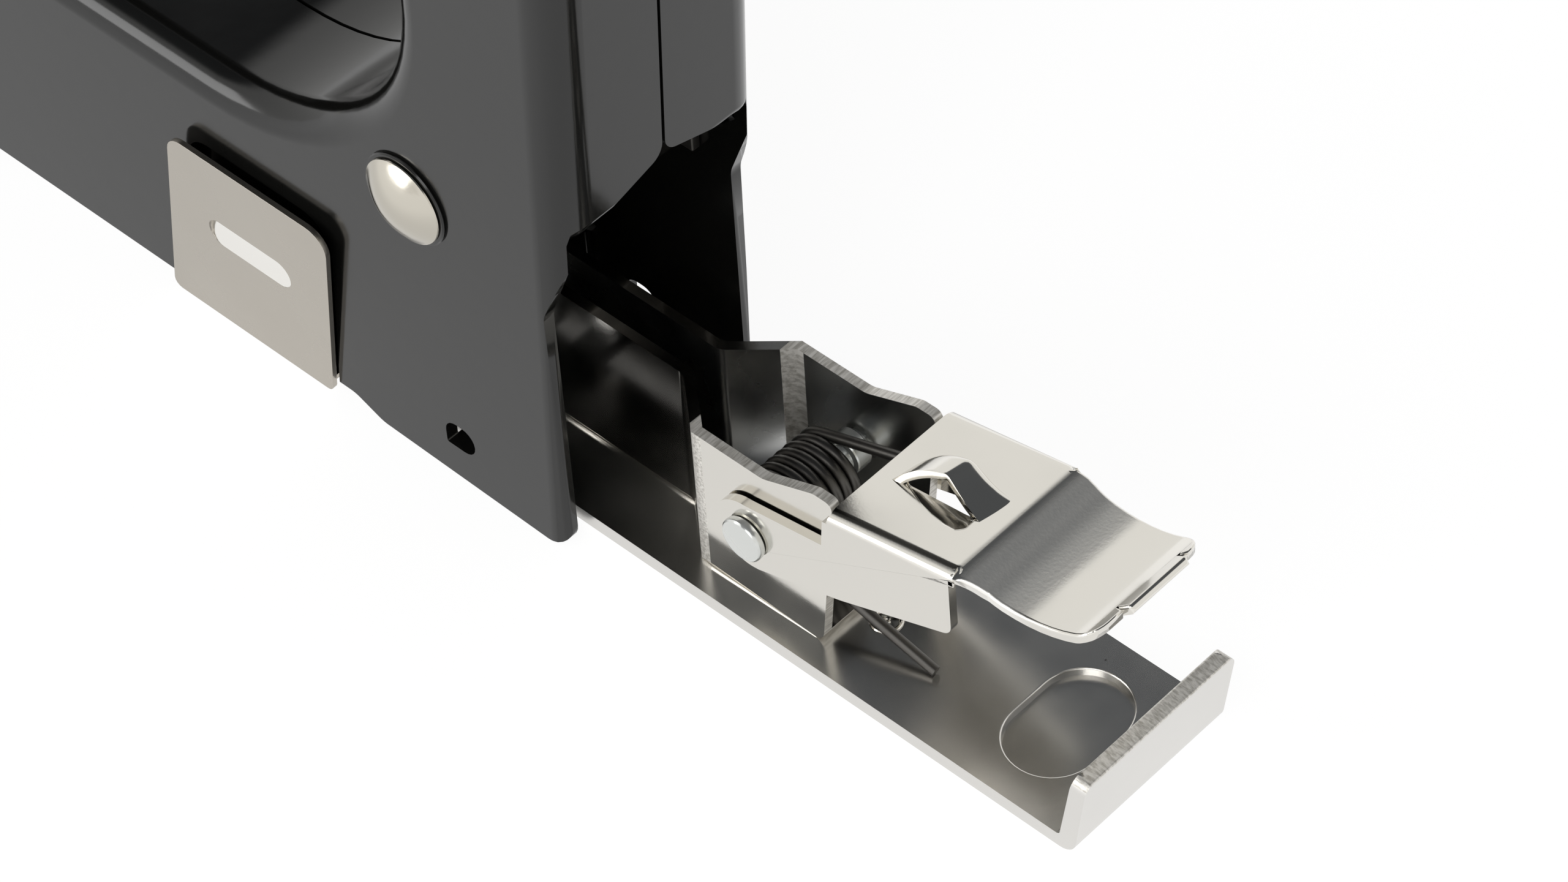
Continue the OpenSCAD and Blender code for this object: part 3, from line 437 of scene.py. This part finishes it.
def make_base_plate():
    """Foot of the magazine: a drawn finger dimple, a turned-up lip and plainly sheared edges."""
    bm = merged("base_plate")
    # The upper edge of the turned-up lip is left as it was sheared
    for face in cut_faces(bm, PLATE_SHEET):
        if face.normal.z > 0.5 and face.calc_center_median().z > 10 * MM:
            face.material_index = 1
    # The dimple's wall draws in a little towards its floor
    centre = at(DIMPLE_X, 0, 0)
    reach = (DIMPLE_LENGTH / 2 - DIMPLE_R) * MM
    for v in bm.verts:
        low = abs(PLATE_TOP - DIMPLE_DEPTH - v.co.z / MM) < 0.1
        if low and abs(v.co.x - centre.x) < DIMPLE_BOX[0] * MM and abs(v.co.y) < DIMPLE_BOX[1] * MM:
            core = Vector((centre.x, max(-reach, min(reach, v.co.y)), v.co.z))
            v.co = core + (v.co - core) * ((DIMPLE_R - DIMPLE_DRAFT) / DIMPLE_R)
    rim = [e for e in bm.edges if abs(turn(e)) > 35 and all(
        abs(v.co.x - centre.x) < DIMPLE_BOX[0] * MM and abs(v.co.z / MM - PLATE_TOP) < 0.15 for v in e.verts)]
    round_off(bm, rim, PLATE_EDGE, 3, held=False)
    # The lip's bend is round already
    bend = [e for e in bm.edges if 8 < abs(turn(e)) < 60 and e.calc_length() > 20 * MM]
    round_off(bm, [e for e in corners(bm, 50) if e not in bend], PLATE_EDGE, 3)
    finished(bm, "pressed_base_plate", "magazine", [PLATE_NICKEL, SHEARED_LIP],
             ["base_plate"])


def make_stamped_ring():
    """Ring and centre dot struck into the plate beside the rail."""
    bm = bmesh.new()
    centre = at(-27.97, 1.92, PLATE_TOP)
    # The radius of each round line, and half its thickness
    for ring, thick in ((1.5, 0.26), (0.28, 0.22)):
        wire = bmesh.ops.create_circle(bm, radius=thick * MM, segments=10)["verts"]
        bmesh.ops.rotate(bm, verts=wire, cent=(0, 0, 0), matrix=Matrix.Rotation(pi / 2, 3, "X"))
        bmesh.ops.translate(bm, verts=wire, vec=centre + Vector((ring * MM, 0, 0)))
        loop = [e for e in bm.edges if all(v in wire for v in e.verts)]
        bmesh.ops.spin(bm, geom=wire + loop, cent=centre, axis=(0, 0, 1), angle=2 * pi, steps=28,
                       use_merge=True)
    bmesh.ops.recalc_face_normals(bm, faces=bm.faces)
    finished(bm, "stamped_ring", "magazine", [NICKEL])


def make_rail():
    """Staple rail and latch ears, folded from one strip, with tight bends and sheared upper edges."""
    bm = merged("staple_rail")
    plain, sheared, coined, inner = range(4)
    # A band coined across the inner faces sets the bend of the ears
    for x in COINED_X:
        bmesh.ops.bisect_plane(bm, geom=bm.verts[:] + bm.edges[:] + bm.faces[:], plane_co=at(x, 0, 0),
                               plane_no=(1, 0, 0), dist=0.001 * MM)
    bm.normal_update()
    for face in bm.faces:
        face.material_index = plain
        middle = face.calc_center_median()
        # Faces that look in towards the middle take the darker nickel, a painted shade, outside the coined
        # band
        if face.normal.y * middle.y < 0 and abs(face.normal.y) > 0.5:
            in_band = COINED_X[0] < back_of(middle) < COINED_X[1] and middle.z > COINED_FOOT * MM
            face.material_index = coined if in_band else inner
    for face in cut_faces(bm, RAIL_SHEET):
        if face.material_index == plain:
            face.material_index = sheared
    band = [f for f in bm.faces if f.material_index == coined]
    bmesh.ops.inset_individual(bm, faces=band, thickness=COINED_MARGIN * MM, depth=-COINED_DEPTH * MM)
    # The long bends at the rail's foot, and the upright ones where it jogs out to the ears
    foot = [e for e in bm.edges if turn(e) > 50 and all(v.co.z < (PLATE_TOP + 0.05) * MM for v in e.verts)
            and all(breadth(f, e) > 2 * MM for f in e.link_faces)]
    round_off(bm, foot, RAIL_FOOT, 4, held=False)
    jogs = [e for e in bm.edges if 25 < abs(turn(e)) < 70 and abs(e.verts[0].co.z - e.verts[1].co.z) > 4 * MM
            and all(breadth(f, e) > 1.8 * MM for f in e.link_faces)]
    round_off(bm, jogs, RAIL_JOG, 4)
    round_off(bm, corners(bm, 50), RAIL_EDGE, 2)
    finished(bm, "folded_staple_rail", "magazine",
             [NICKEL, SHEARED, COINED, SHADED_INNER_NICKEL], ["staple_rail"])


# ---------------------------------------------------------------- latch

# The front edge of the lever's top, and its slope up towards the rear
LEVER_FRONT, LEVER_TOP, LEVER_SLOPE = -27.6, 25.2, radians(12.9)
# The radii of the lever's folds, of the thumb plate's rim and of its other edges
LEVER_FOLD, THUMB_EDGE, LEVER_EDGE = 1.6, 0.34, 0.24
# Behind NECK_X the plate reaches only NECK_HALF to the right, as its thumb plate does
NECK_X, NECK_HALF = -43.42, 8.45
# The plain hook's reach along the lever, where the thumb plate starts, and how far out the flanges stand
HOOK_SPAN, THUMB_START, FLANGE_Y = (1, 16), 16.5, 9.2


def on_lever(s, y, h):
    """A place s behind the lever's front edge, along its sloping top, and h above it."""
    return at(LEVER_FRONT - s * cos(LEVER_SLOPE) + h * sin(LEVER_SLOPE), y,
              LEVER_TOP + s * sin(LEVER_SLOPE) + h * cos(LEVER_SLOPE))


def off_lever(co):
    """The same three lengths of a place, s, y and h."""
    x, z = co.x / MM - at(LEVER_FRONT, 0, 0).x / MM, co.z / MM - LEVER_TOP
    return (-x * cos(LEVER_SLOPE) + z * sin(LEVER_SLOPE), co.y / MM,
            x * sin(LEVER_SLOPE) + z * cos(LEVER_SLOPE))


# Outline of the opening that the hook and its lip were lanced from
LANCED = ((2.4, 1.5), (4.3, 1.75), (5.2, 2.2), (7.0, 3.0), (8.9, 3.65), (11.0, 4.1), (12.6, 4.2), (13.2, 3.7),
          (13.3, 2.6), (13.5, 0.5), (13.4, -1.5), (9.0, -2.3), (5.0, -2.3), (3.2, -1.6), (2.4, 0.0))


def make_lever():
    """Latch lever folded from one sheet: straight flanges, a dished thumb plate and a lanced opening."""
    bm = merged("latch_lever")
    # The plain hook goes, and the top is closed again before the opening is lanced through it
    hook = [v for v in bm.verts
            if HOOK_SPAN[0] < off_lever(v.co)[0] < HOOK_SPAN[1] and off_lever(v.co)[2] > 1]
    bmesh.ops.delete(bm, geom=hook, context="VERTS")
    bmesh.ops.holes_fill(bm, edges=[e for e in bm.edges if e.is_boundary], sides=0)
    bmesh.ops.dissolve_limit(bm, angle_limit=FLAT, verts=bm.verts, edges=bm.edges)
    bm.normal_update()
    cut = bmesh.new()
    lid = cut.faces.new([cut.verts.new(on_lever(s, y, 1)) for s, y in LANCED])
    wall = bmesh.ops.extrude_face_region(cut, geom=[lid])["geom"]
    bmesh.ops.translate(cut, verts=[v for v in wall if isinstance(v, bmesh.types.BMVert)],
                        vec=on_lever(0, 0, -3) - on_lever(0, 0, 1))
    bmesh.ops.recalc_face_normals(cut, faces=cut.faces)
    bm = carved(bm, cut)
    bmesh.ops.dissolve_limit(bm, angle_limit=FLAT, verts=bm.verts, edges=bm.edges)
    bm.normal_update()
    for face in bm.faces:
        face.material_index = 0
    bends = [e for e in bm.edges if turn(e) > 60 and e.verts[0].co.y * e.verts[1].co.y > 0
             and any(f.normal.z > 0.7 for f in e.link_faces)
             and all(abs(v.co.y) > FLANGE_Y * MM and off_lever(v.co)[2] > -0.3 for v in e.verts)]
    round_off(bm, bends, LEVER_FOLD, 10, held=False)
    for v in bm.verts:
        if v.co.x < at(NECK_X, 0, 0).x and -9.5 * MM < v.co.y < -NECK_HALF * MM:
            v.co.y = -NECK_HALF * MM
    bmesh.ops.dissolve_degenerate(bm, dist=0.01 * MM, edges=bm.edges)
    thumb = [e for e in corners(bm, 50) if all(off_lever(v.co)[0] > THUMB_START for v in e.verts)
             and any(f.normal.z > 0.55 for f in e.link_faces)]
    round_off(bm, thumb, THUMB_EDGE, 3, held=False)
    round_off(bm, corners(bm, 50), LEVER_EDGE, 3)
    finished(bm, "folded_latch_lever", "latch", [LEVER_NICKEL], ["latch_lever"])


def carved(bm, cut):
    """What is left of one mesh when another is cut away from it."""
    objects = []
    for source in (bm, cut):
        mesh = bpy.data.meshes.new("carving")
        source.to_mesh(mesh)
        source.free()
        made = bpy.data.objects.new("carving", mesh)
        bpy.context.scene.collection.objects.link(made)
        objects.append(made)
    piece, tool = objects
    difference = piece.modifiers.new("cut", "BOOLEAN")
    difference.object = tool
    difference.solver = "EXACT"
    bpy.context.view_layer.update()
    carved_piece = piece.evaluated_get(bpy.context.evaluated_depsgraph_get())
    left = bmesh.new()
    left.from_mesh(carved_piece.to_mesh())
    carved_piece.to_mesh_clear()
    for made in objects:
        mesh = made.data
        bpy.data.objects.remove(made)
        bpy.data.meshes.remove(mesh)
    return left


def lanced(rows, columns, shape, thickness):
    """A tongue torn out of the lever's sheet, of rows by columns faces and a thickness in millimetres.

    shape(u, v) places the corners of its upper side, with u and v from 0 to 1.
    """
    bm = bmesh.new()
    bmesh.ops.create_grid(bm, x_segments=rows, y_segments=columns, size=0.5)
    for v in bm.verts:
        v.co = shape(v.co.x + 0.5, v.co.y + 0.5)
    bm.normal_update()
    up = on_lever(0, 0, 1) - on_lever(0, 0, 0)
    if sum(f.normal.dot(up) for f in bm.faces) < 0:
        bmesh.ops.reverse_faces(bm, faces=bm.faces)
    bmesh.ops.solidify(bm, geom=bm.faces, thickness=thickness * MM)
    bmesh.ops.recalc_face_normals(bm, faces=bm.faces)
    return bm


# Shares of the way across the hook at which its rounded shoulder starts and ends, the most of a side that
# the round may take, and how far it reaches in millimetres
SHOULDER_START, SHOULDER_END, SHOULDER_SHARE, SHOULDER_REACH = 0.45, 0.7, 0.45, 0.8
# The share of the hook's length at which its ridge stands, and how high
RIDGE, RIDGE_HEIGHT = 0.6, 3.4


def over_shoulder(a, first, middle, last):
    """A point at share a of the way first, middle, last, with the corner in the middle rounded."""
    start, end = (middle + side * min(SHOULDER_SHARE, SHOULDER_REACH / max(1e-6, side.length))
                  for side in (first - middle, last - middle))
    if a < SHOULDER_START:
        return first.lerp(start, a / SHOULDER_START)
    if a > SHOULDER_END:
        return end.lerp(last, (a - SHOULDER_END) / (1 - SHOULDER_END))
    t = (a - SHOULDER_START) / (SHOULDER_END - SHOULDER_START)
    return start.lerp(middle, t).lerp(middle.lerp(end, t), t)


def hook_lines(u):
    """Three points across the hook at u: on its cut edge, on its far shoulder and at the shoulder's foot.

    Each is (s, y, h) on the lever. Up to RIDGE they climb the ramp, and after it they drop.
    """
    if u < RIDGE:
        t = u / RIDGE
        rise = RIDGE_HEIGHT * sin(pi / 2 * t) ** 0.9
        return (Vector((1.9 + 7.6 * t, 1.85 - 0.75 * t, rise)),
                Vector((2.2 + 7.7 * t, -2.0 + 3.2 * (1 - t) ** 5, 0.94 * rise)),
                Vector((2.2 + 7.9 * t, -2.85 + 3.6 * (1 - t) ** 6, 0)))
    w = (u - RIDGE) / (1 - RIDGE)
    drop = 1 - w - 0.12 * sin(pi * w)
    return (Vector((9.5 + 4.6 * w, 1.1 + 1.2 * w, RIDGE_HEIGHT * drop)),
            Vector((9.9 + 4.5 * w, -2.0 + 0.4 * w, 3.2 * drop)),
            Vector((10.1 + 4.2 * w, -2.85 + 0.95 * w, 0)))


def hook_sheet(u, v):
    """The lanced hook's face: a ramp up to the ridge, a steep dished back, and a shoulder on the far side."""
    # The lines are averaged over a short way, which rounds the ridge
    near = [hook_lines(min(1.0, max(0.0, u + d))) for d in (-0.03, -0.015, 0.0, 0.015, 0.03)]
    first, middle, last = (sum((line[k] for line in near), Vector()) / len(near) for k in range(3))
    s, y, h = over_shoulder(v, first, middle, last)
    bulge = 0.45 * max(0.0, (u - 0.85) / 0.15) * sin(pi * v)
    return on_lever(s + bulge, y, h - 0.12)


def make_hook():
    """Catch hook lanced up out of the lever's top: stretched and polished over its ridge."""
    bm = lanced(48, 22, hook_sheet, 0.85)
    round_off(bm, corners(bm, 50), 0.12, 2)
    finished(bm, "lanced_hook", "latch", [NICKEL])


# The opening's rim that the sunk lip hangs from
LIP_RIM = ((4.0, 1.7), (5.2, 2.25), (7.0, 3.05), (8.9, 3.75), (11.0, 4.2), (12.6, 4.3), (13.35, 3.6),
           (13.3, 2.4))


def lip_sheet(u, v):
    """The sunk lip beside the hook: from the rim of the opening down to its cut edge."""
    place = u * (len(LIP_RIM) - 1)
    k = min(int(place), len(LIP_RIM) - 2)
    share = place - k
    s0, y0 = (LIP_RIM[k][i] + (LIP_RIM[k + 1][i] - LIP_RIM[k][i]) * share for i in (0, 1))
    depth = 1.3 * sin(pi * min(1.0, u * 1.05)) ** 0.6
    s1, y1 = 4.3 + 8.6 * u - 0.98 * depth, 1.65 + 0.5 * u - 0.78 * depth
    return on_lever(s0 + (s1 - s0) * v, y0 + (y1 - y0) * v, 0.05 - depth * sin(pi / 2 * v))


def make_lip():
    """Lip beside the hook, bent down into the lever where the sheet was torn."""
    finished(lanced(24, 8, lip_sheet, 0.6), "lanced_lip", "latch", [NICKEL])


# The hinge pin's line across the gun, and its radius
PIN_X, PIN_Z, PIN_R = -16.8, 14.5, 1.66


def turned(name, body, material, profile, x, z, replaced=()):
    """A part turned on a lathe about a line across the gun; its profile is (y, radius) pairs."""
    bm = bmesh.new()
    chain = [bm.verts.new(at(x, y, z + r)) for y, r in profile]
    edges = [bm.edges.new(pair) for pair in zip(chain, chain[1:])]
    bmesh.ops.spin(bm, geom=chain + edges, cent=at(x, 0, z), axis=(0, 1, 0), angle=2 * pi, steps=48,
                   use_merge=True)
    bmesh.ops.remove_doubles(bm, verts=bm.verts, dist=0.001 * MM)
    bmesh.ops.recalc_face_normals(bm, faces=bm.faces)
    finished(bm, name, body, [material], replaced)


def make_hinge_pin():
    """Headed pin with a rolled rim, and a collar that keeps the far ear from closing in."""
    near = [(10.45, 0), (10.45, 2.1), (10.38, 2.38), (10.2, 2.55), (9.95, 2.6), (9.55, 2.55), (9.4, 2.4),
            (9.4, PIN_R)]
    collar = [(-4.3, PIN_R), (-4.45, 2.15), (-4.6, 2.25), (-6.3, 2.25), (-6.45, 2.1), (-6.5, PIN_R)]
    far = [(-9.4, PIN_R), (-9.4, 2.4), (-9.6, 2.6), (-10.1, 2.6), (-10.4, 2.3), (-10.45, 0)]
    turned("headed_hinge_pin", "magazine", ZINC, near + collar + far, PIN_X, PIN_Z,
           ["hinge_pin"])


def make_latch_spring():
    """Torsion spring of oiled wire: one leg on the plate, close coils on the pin, one leg under the lever."""
    wire, coil, turns, coil_left, coil_length = 1.2, 3.9, 6, 5, 8
    # The lower leg's tip rests on the plate, and the leg runs up to touch the coil
    tip = (-36.4, PLATE_TOP + wire / 2 + 0.05)
    low = (tip[0] - PIN_X, tip[1] - PIN_Z)
    start = atan2(low[1], low[0]) + acos(coil / (low[0] ** 2 + low[1] ** 2) ** 0.5)
    # The upper leg leaves the coil 8 degrees off the lever's slope
    end = radians(90 - 8) - LEVER_SLOPE + 2 * pi * turns
    leg = (PIN_X + coil * cos(start), PIN_Z + coil * sin(start))
    points = [(tip[0] + (leg[0] - tip[0]) * k / 4, coil_left - 1 + k / 4, tip[1] + (leg[1] - tip[1]) * k / 4)
              for k in range(4)]
    steps = 32 * turns
    for k in range(steps + 1):
        a = start + (end - start) * k / steps
        points.append((PIN_X + coil * cos(a), coil_left - coil_length * k / steps, PIN_Z + coil * sin(a)))
    last, way = points[-1], (-sin(end), cos(end))
    points += [(last[0] + way[0] * r, last[1], last[2] + way[1] * r) for r in (4, 8, 12.5)]
    line = bpy.data.curves.new("latch_torsion_spring", "CURVE")
    line.dimensions = "3D"
    line.bevel_depth, line.bevel_resolution, line.use_fill_caps = wire / 2 * MM, 5, True
    spline = line.splines.new("POLY")
    spline.points.add(len(points) - 1)
    for point, place in zip(spline.points, points):
        point.co = (*at(*place), 1)
    spline.use_smooth = True
    line.materials.append(OILED)
    spring = bpy.data.objects.new("latch_torsion_spring", line)
    bpy.context.scene.collection.objects.link(spring)
    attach(spring, "magazine")
    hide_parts("latch_spring")


# ---------------------------------------------------------------- clip and rivets

# The louvre's middle, its reach up the plate, how far the plain dimple there is sunk, and the louvre's
# depth under its upper edge
LOUVRE_X, LOUVRE_Z, DIMPLE_SINK, LOUVRE_DEPTH = 47.8, (13.9, 17.62), 0.5, 0.95
# How far each plate is drawn in to the body at the clip's top, and over what height
CLIP_DRAW, CLIP_RISE = 0.85, 26


def make_clip():
    """Spring clip with a louvre pressed into each plate: deep under its upper edge, fading out below."""
    bm = merged("side_clip")
    low, high = LOUVRE_Z
    for side in (1, -1):
        floor = []
        for face in bm.faces:
            middle = face.calc_center_median()
            in_louvre = abs(back_of(middle) - LOUVRE_X) < 2 and low < middle.z / MM < high
            outside = face.normal.y * side > 0.9 and middle.y * side > 14.9 * MM
            if in_louvre and outside and face.calc_area() < 60 * MM ** 2:
                floor.append(face)
        # The dimple's floor is cut into strips, so that it can be bent
        for k in range(1, 8):
            verts, edges = {v for f in floor for v in f.verts}, {e for f in floor for e in f.edges}
            cut = bmesh.ops.bisect_plane(bm, geom=[*verts, *edges, *floor], plane_no=(0, 0, 1),
                                         plane_co=(0, 0, (low + (high - low) * k / 8) * MM), dist=0.001 * MM)
            floor = [f for f in cut["geom"] if isinstance(f, bmesh.types.BMFace)]
        for v in {v for f in floor for v in f.verts}:
            share = min(1.0, max(0.0, (v.co.z / MM - low) / (high - low)))
            v.co.y += side * (DIMPLE_SINK - LOUVRE_DEPTH * share ** 1.2) * MM
        # The sunk faces take the paler nickel, a painted highlight
        for face in floor:
            face.material_index = 1
    # Each plate lies closer to the body towards its top
    for v in bm.verts:
        if abs(v.co.y) > BODY_HALF * MM:
            v.co.y -= copysign(CLIP_DRAW * MM * min(1.0, max(0.0, v.co.z / MM - 1) / CLIP_RISE), v.co.y)
    bm.normal_update()
    outline = [e for e in corners(bm, 40) if not all(
        abs(back_of(v.co) - LOUVRE_X) < 7 and low - 0.1 < v.co.z / MM < high + 0.2 for v in e.verts)]
    round_off(bm, outline, 0.2, 3)
    finished(bm, "sprung_side_clip", "body", [SATIN_NICKEL, LOUVRE_HIGHLIGHT_NICKEL], ["side_clip"])


# The rivets' places in length and height, and their domes' top, rise and radius
RIVETS = ((22.6, 39.2), (10.85, 81), (120, 30), (126, 72))
DOME_TOP, DOME_RISE, DOME_R = 2.5, 1.65, 4.75


def make_rivets():
    """Domed rivets, each standing off the enamel on a black washer."""
    dome = [(0.46, 0.0), (0.46, 4.7), (0.5, 4.9), (0.6, 5.0), (0.74, 4.95), (0.85, DOME_R)]
    dome += [(DOME_TOP - DOME_RISE * (r / 2 / DOME_R) ** 2, r / 2) for r in range(9, -1, -1)]
    washer = [(0.02, 0.0), (0.02, 5.35), (0.25, 5.45), (0.42, 5.3), (0.45, 5.0), (0.45, 0.0)]
    for number, (x, z) in enumerate(RIVETS):
        for side, hand in ((1, "left"), (-1, "right")):
            tag = "%d_%s" % (number, hand)
            turned("rivet_head_" + tag, "body", RIVET_NICKEL,
                   [(side * (BODY_HALF + y), r) for y, r in dome], x, z,
                   ["body_rivets"] if tag == "0_left" else ())
            turned("rivet_washer_" + tag, "body", ENAMEL,
                   [(side * (BODY_HALF + y), r) for y, r in washer], x, z)


make_base_plate()
make_stamped_ring()
make_rail()
make_lever()
make_hook()
make_lip()
make_hinge_pin()
make_latch_spring()
make_clip()
make_rivets()

# ---------------------------------------------------------------- setting

# How bright the table looks to the camera, and to polished metal close under the gun and far from it. To
# metal it brightens from OVAL_START to OVAL_END of an oval, whose half lengths are in metres, and its
# darker middle is a painted shade.
TABLE_SEEN, TABLE_NEAR, TABLE_FAR = 0.9, 0.78, 1.0
OVAL, OVAL_START, OVAL_END = (0.4, 0.12), 0.35, 1.0


def make_floor():
    """White table under the gun: plain white to look at, with the gun's soft shadow left on it, and a painted
    shade close under the gun in the glow that metal sees.
    """
    material, tree, place = blank("white_table")
    ray = add(tree, "LightPath").outputs
    seen = add(tree, "Math", {0: ray["Is Camera Ray"], 1: ray["Is Glossy Ray"]}, operation="MAXIMUM")
    seen = add(tree, "Math", {0: seen.outputs[0], 1: ray["Is Transmission Ray"]}, operation="MAXIMUM")
    # Polished metal sees the table a little darker close under the gun: a painted shade where less light
    # reaches it
    reach = add(tree, "Mapping", {"Vector": place, "Scale": (1 / OVAL[0], 1 / OVAL[1], 0.0)})
    away = add(tree, "VectorMath", {0: reach.outputs["Vector"]}, operation="LENGTH")
    shade = add(tree, "MapRange", {"Value": away.outputs["Value"], "From Min": OVAL_START,
                                   "From Max": OVAL_END, "To Min": TABLE_NEAR, "To Max": TABLE_FAR},
                interpolation_type="SMOOTHSTEP")
    level = add(tree, "Mix", {0: ray["Is Camera Ray"], 2: shade.outputs["Result"], 3: TABLE_SEEN})
    glow = add(tree, "Emission", {"Color": tone("#ffffff"), "Strength": level.outputs[0]})
    paper = add(tree, "BsdfDiffuse", {"Color": tone("#808080")})
    lit = add(tree, "AddShader", {0: glow.outputs[0], 1: paper.outputs[0]})
    plain = add(tree, "BsdfDiffuse", {"Color": tone("#e8e8e8")})
    both = add(tree, "MixShader", {0: seen.outputs[0], 1: plain.outputs[0], 2: lit.outputs[0]})
    close_up(material, tree, both.outputs["Shader"])
    bm = bmesh.new()
    bmesh.ops.create_grid(bm, x_segments=1, y_segments=1, size=4.0)
    bmesh.ops.translate(bm, verts=bm.verts, vec=(0, 0, cad_box[0][2]))
    mesh = bpy.data.meshes.new("table")
    bm.to_mesh(mesh)
    bm.free()
    mesh.materials.append(material)
    table = bpy.data.objects.new("table", mesh)
    bpy.context.scene.collection.objects.link(table)


# Where the walls' light ends and the ceiling's starts, each with its linear colour, and the walls' strength
WALLS, CEILING, WALL_LIGHT = (0.54, (1.0, 0.995, 0.975, 1.0)), (0.67, (0.088, 0.093, 0.100, 1.0)), 0.95


def make_world():
    """Bright walls low down and a darker ceiling, which polished metal shows in its upturned faces."""
    world = bpy.data.worlds.new("studio")
    bpy.context.scene.world = world
    world.use_nodes = True
    tree = world.node_tree
    tree.nodes.clear()
    way = add(tree, "TexCoord").outputs["Generated"]
    height = add(tree, "SeparateXYZ", {"Vector": way}).outputs["Z"]
    fade = add(tree, "ValToRGB", {"Fac": height})
    ramp = fade.color_ramp
    ramp.interpolation = "EASE"
    for stop, value in zip(ramp.elements, (WALLS, CEILING)):
        stop.position, stop.color = value
    walls = add(tree, "Background", {"Color": fade.outputs["Color"], "Strength": WALL_LIGHT})
    white = add(tree, "Background", {"Color": tone("#ffffff"), "Strength": 1.0})
    seen = add(tree, "LightPath").outputs["Is Camera Ray"]
    both = add(tree, "MixShader", {0: seen, 1: walls.outputs[0], 2: white.outputs[0]})
    add(tree, "OutputWorld", {"Surface": both.outputs["Shader"]})


def make_lamp(name, place, aim, size, watts):
    """A rectangular softbox of a size in metres, turned to what it lights."""
    lamp = bpy.data.lights.new(name, "AREA")
    lamp.shape = "RECTANGLE"
    lamp.size, lamp.size_y = size
    lamp.energy = watts
    holder = bpy.data.objects.new(name, lamp)
    bpy.context.scene.collection.objects.link(holder)
    holder.location = place
    holder.rotation_euler = (aim - place).to_track_quat("-Z", "Y").to_euler()


def make_camera():
    """Close on the magazine, from behind, the left and above."""
    aim = at(-13.253, 0, 17.906)
    distance, heading, height, roll = 0.5172, radians(-44.187), radians(47.623), radians(-3.975)
    ahead = Vector((cos(height) * cos(heading), cos(height) * sin(heading), -sin(height)))
    lens = bpy.data.cameras.new("camera")
    lens.lens, lens.sensor_width = 120.717, 36.0
    lens.clip_start, lens.clip_end = 0.01, 50.0
    camera = bpy.data.objects.new("camera", lens)
    bpy.context.scene.collection.objects.link(camera)
    camera.location = aim - ahead * distance
    camera.rotation_mode = "QUATERNION"
    camera.rotation_quaternion = ahead.to_track_quat("-Z", "Y") @ Quaternion((0, 0, 1), roll)
    bpy.context.scene.camera = camera


make_floor()
make_world()
gun_middle = at(30, 0, 30)
make_lamp("left_softbox", gun_middle + Vector((-0.5, 1.1, 0.9)), gun_middle, (0.8, 0.8), 4.0)
make_lamp("low_softbox", gun_middle + Vector((0.6, 1.05, 0.3)), gun_middle, (0.8, 0.5), 4.5)
make_camera()

bpy.context.scene.view_settings.view_transform = "Standard"

bpy.context.view_layer.update()
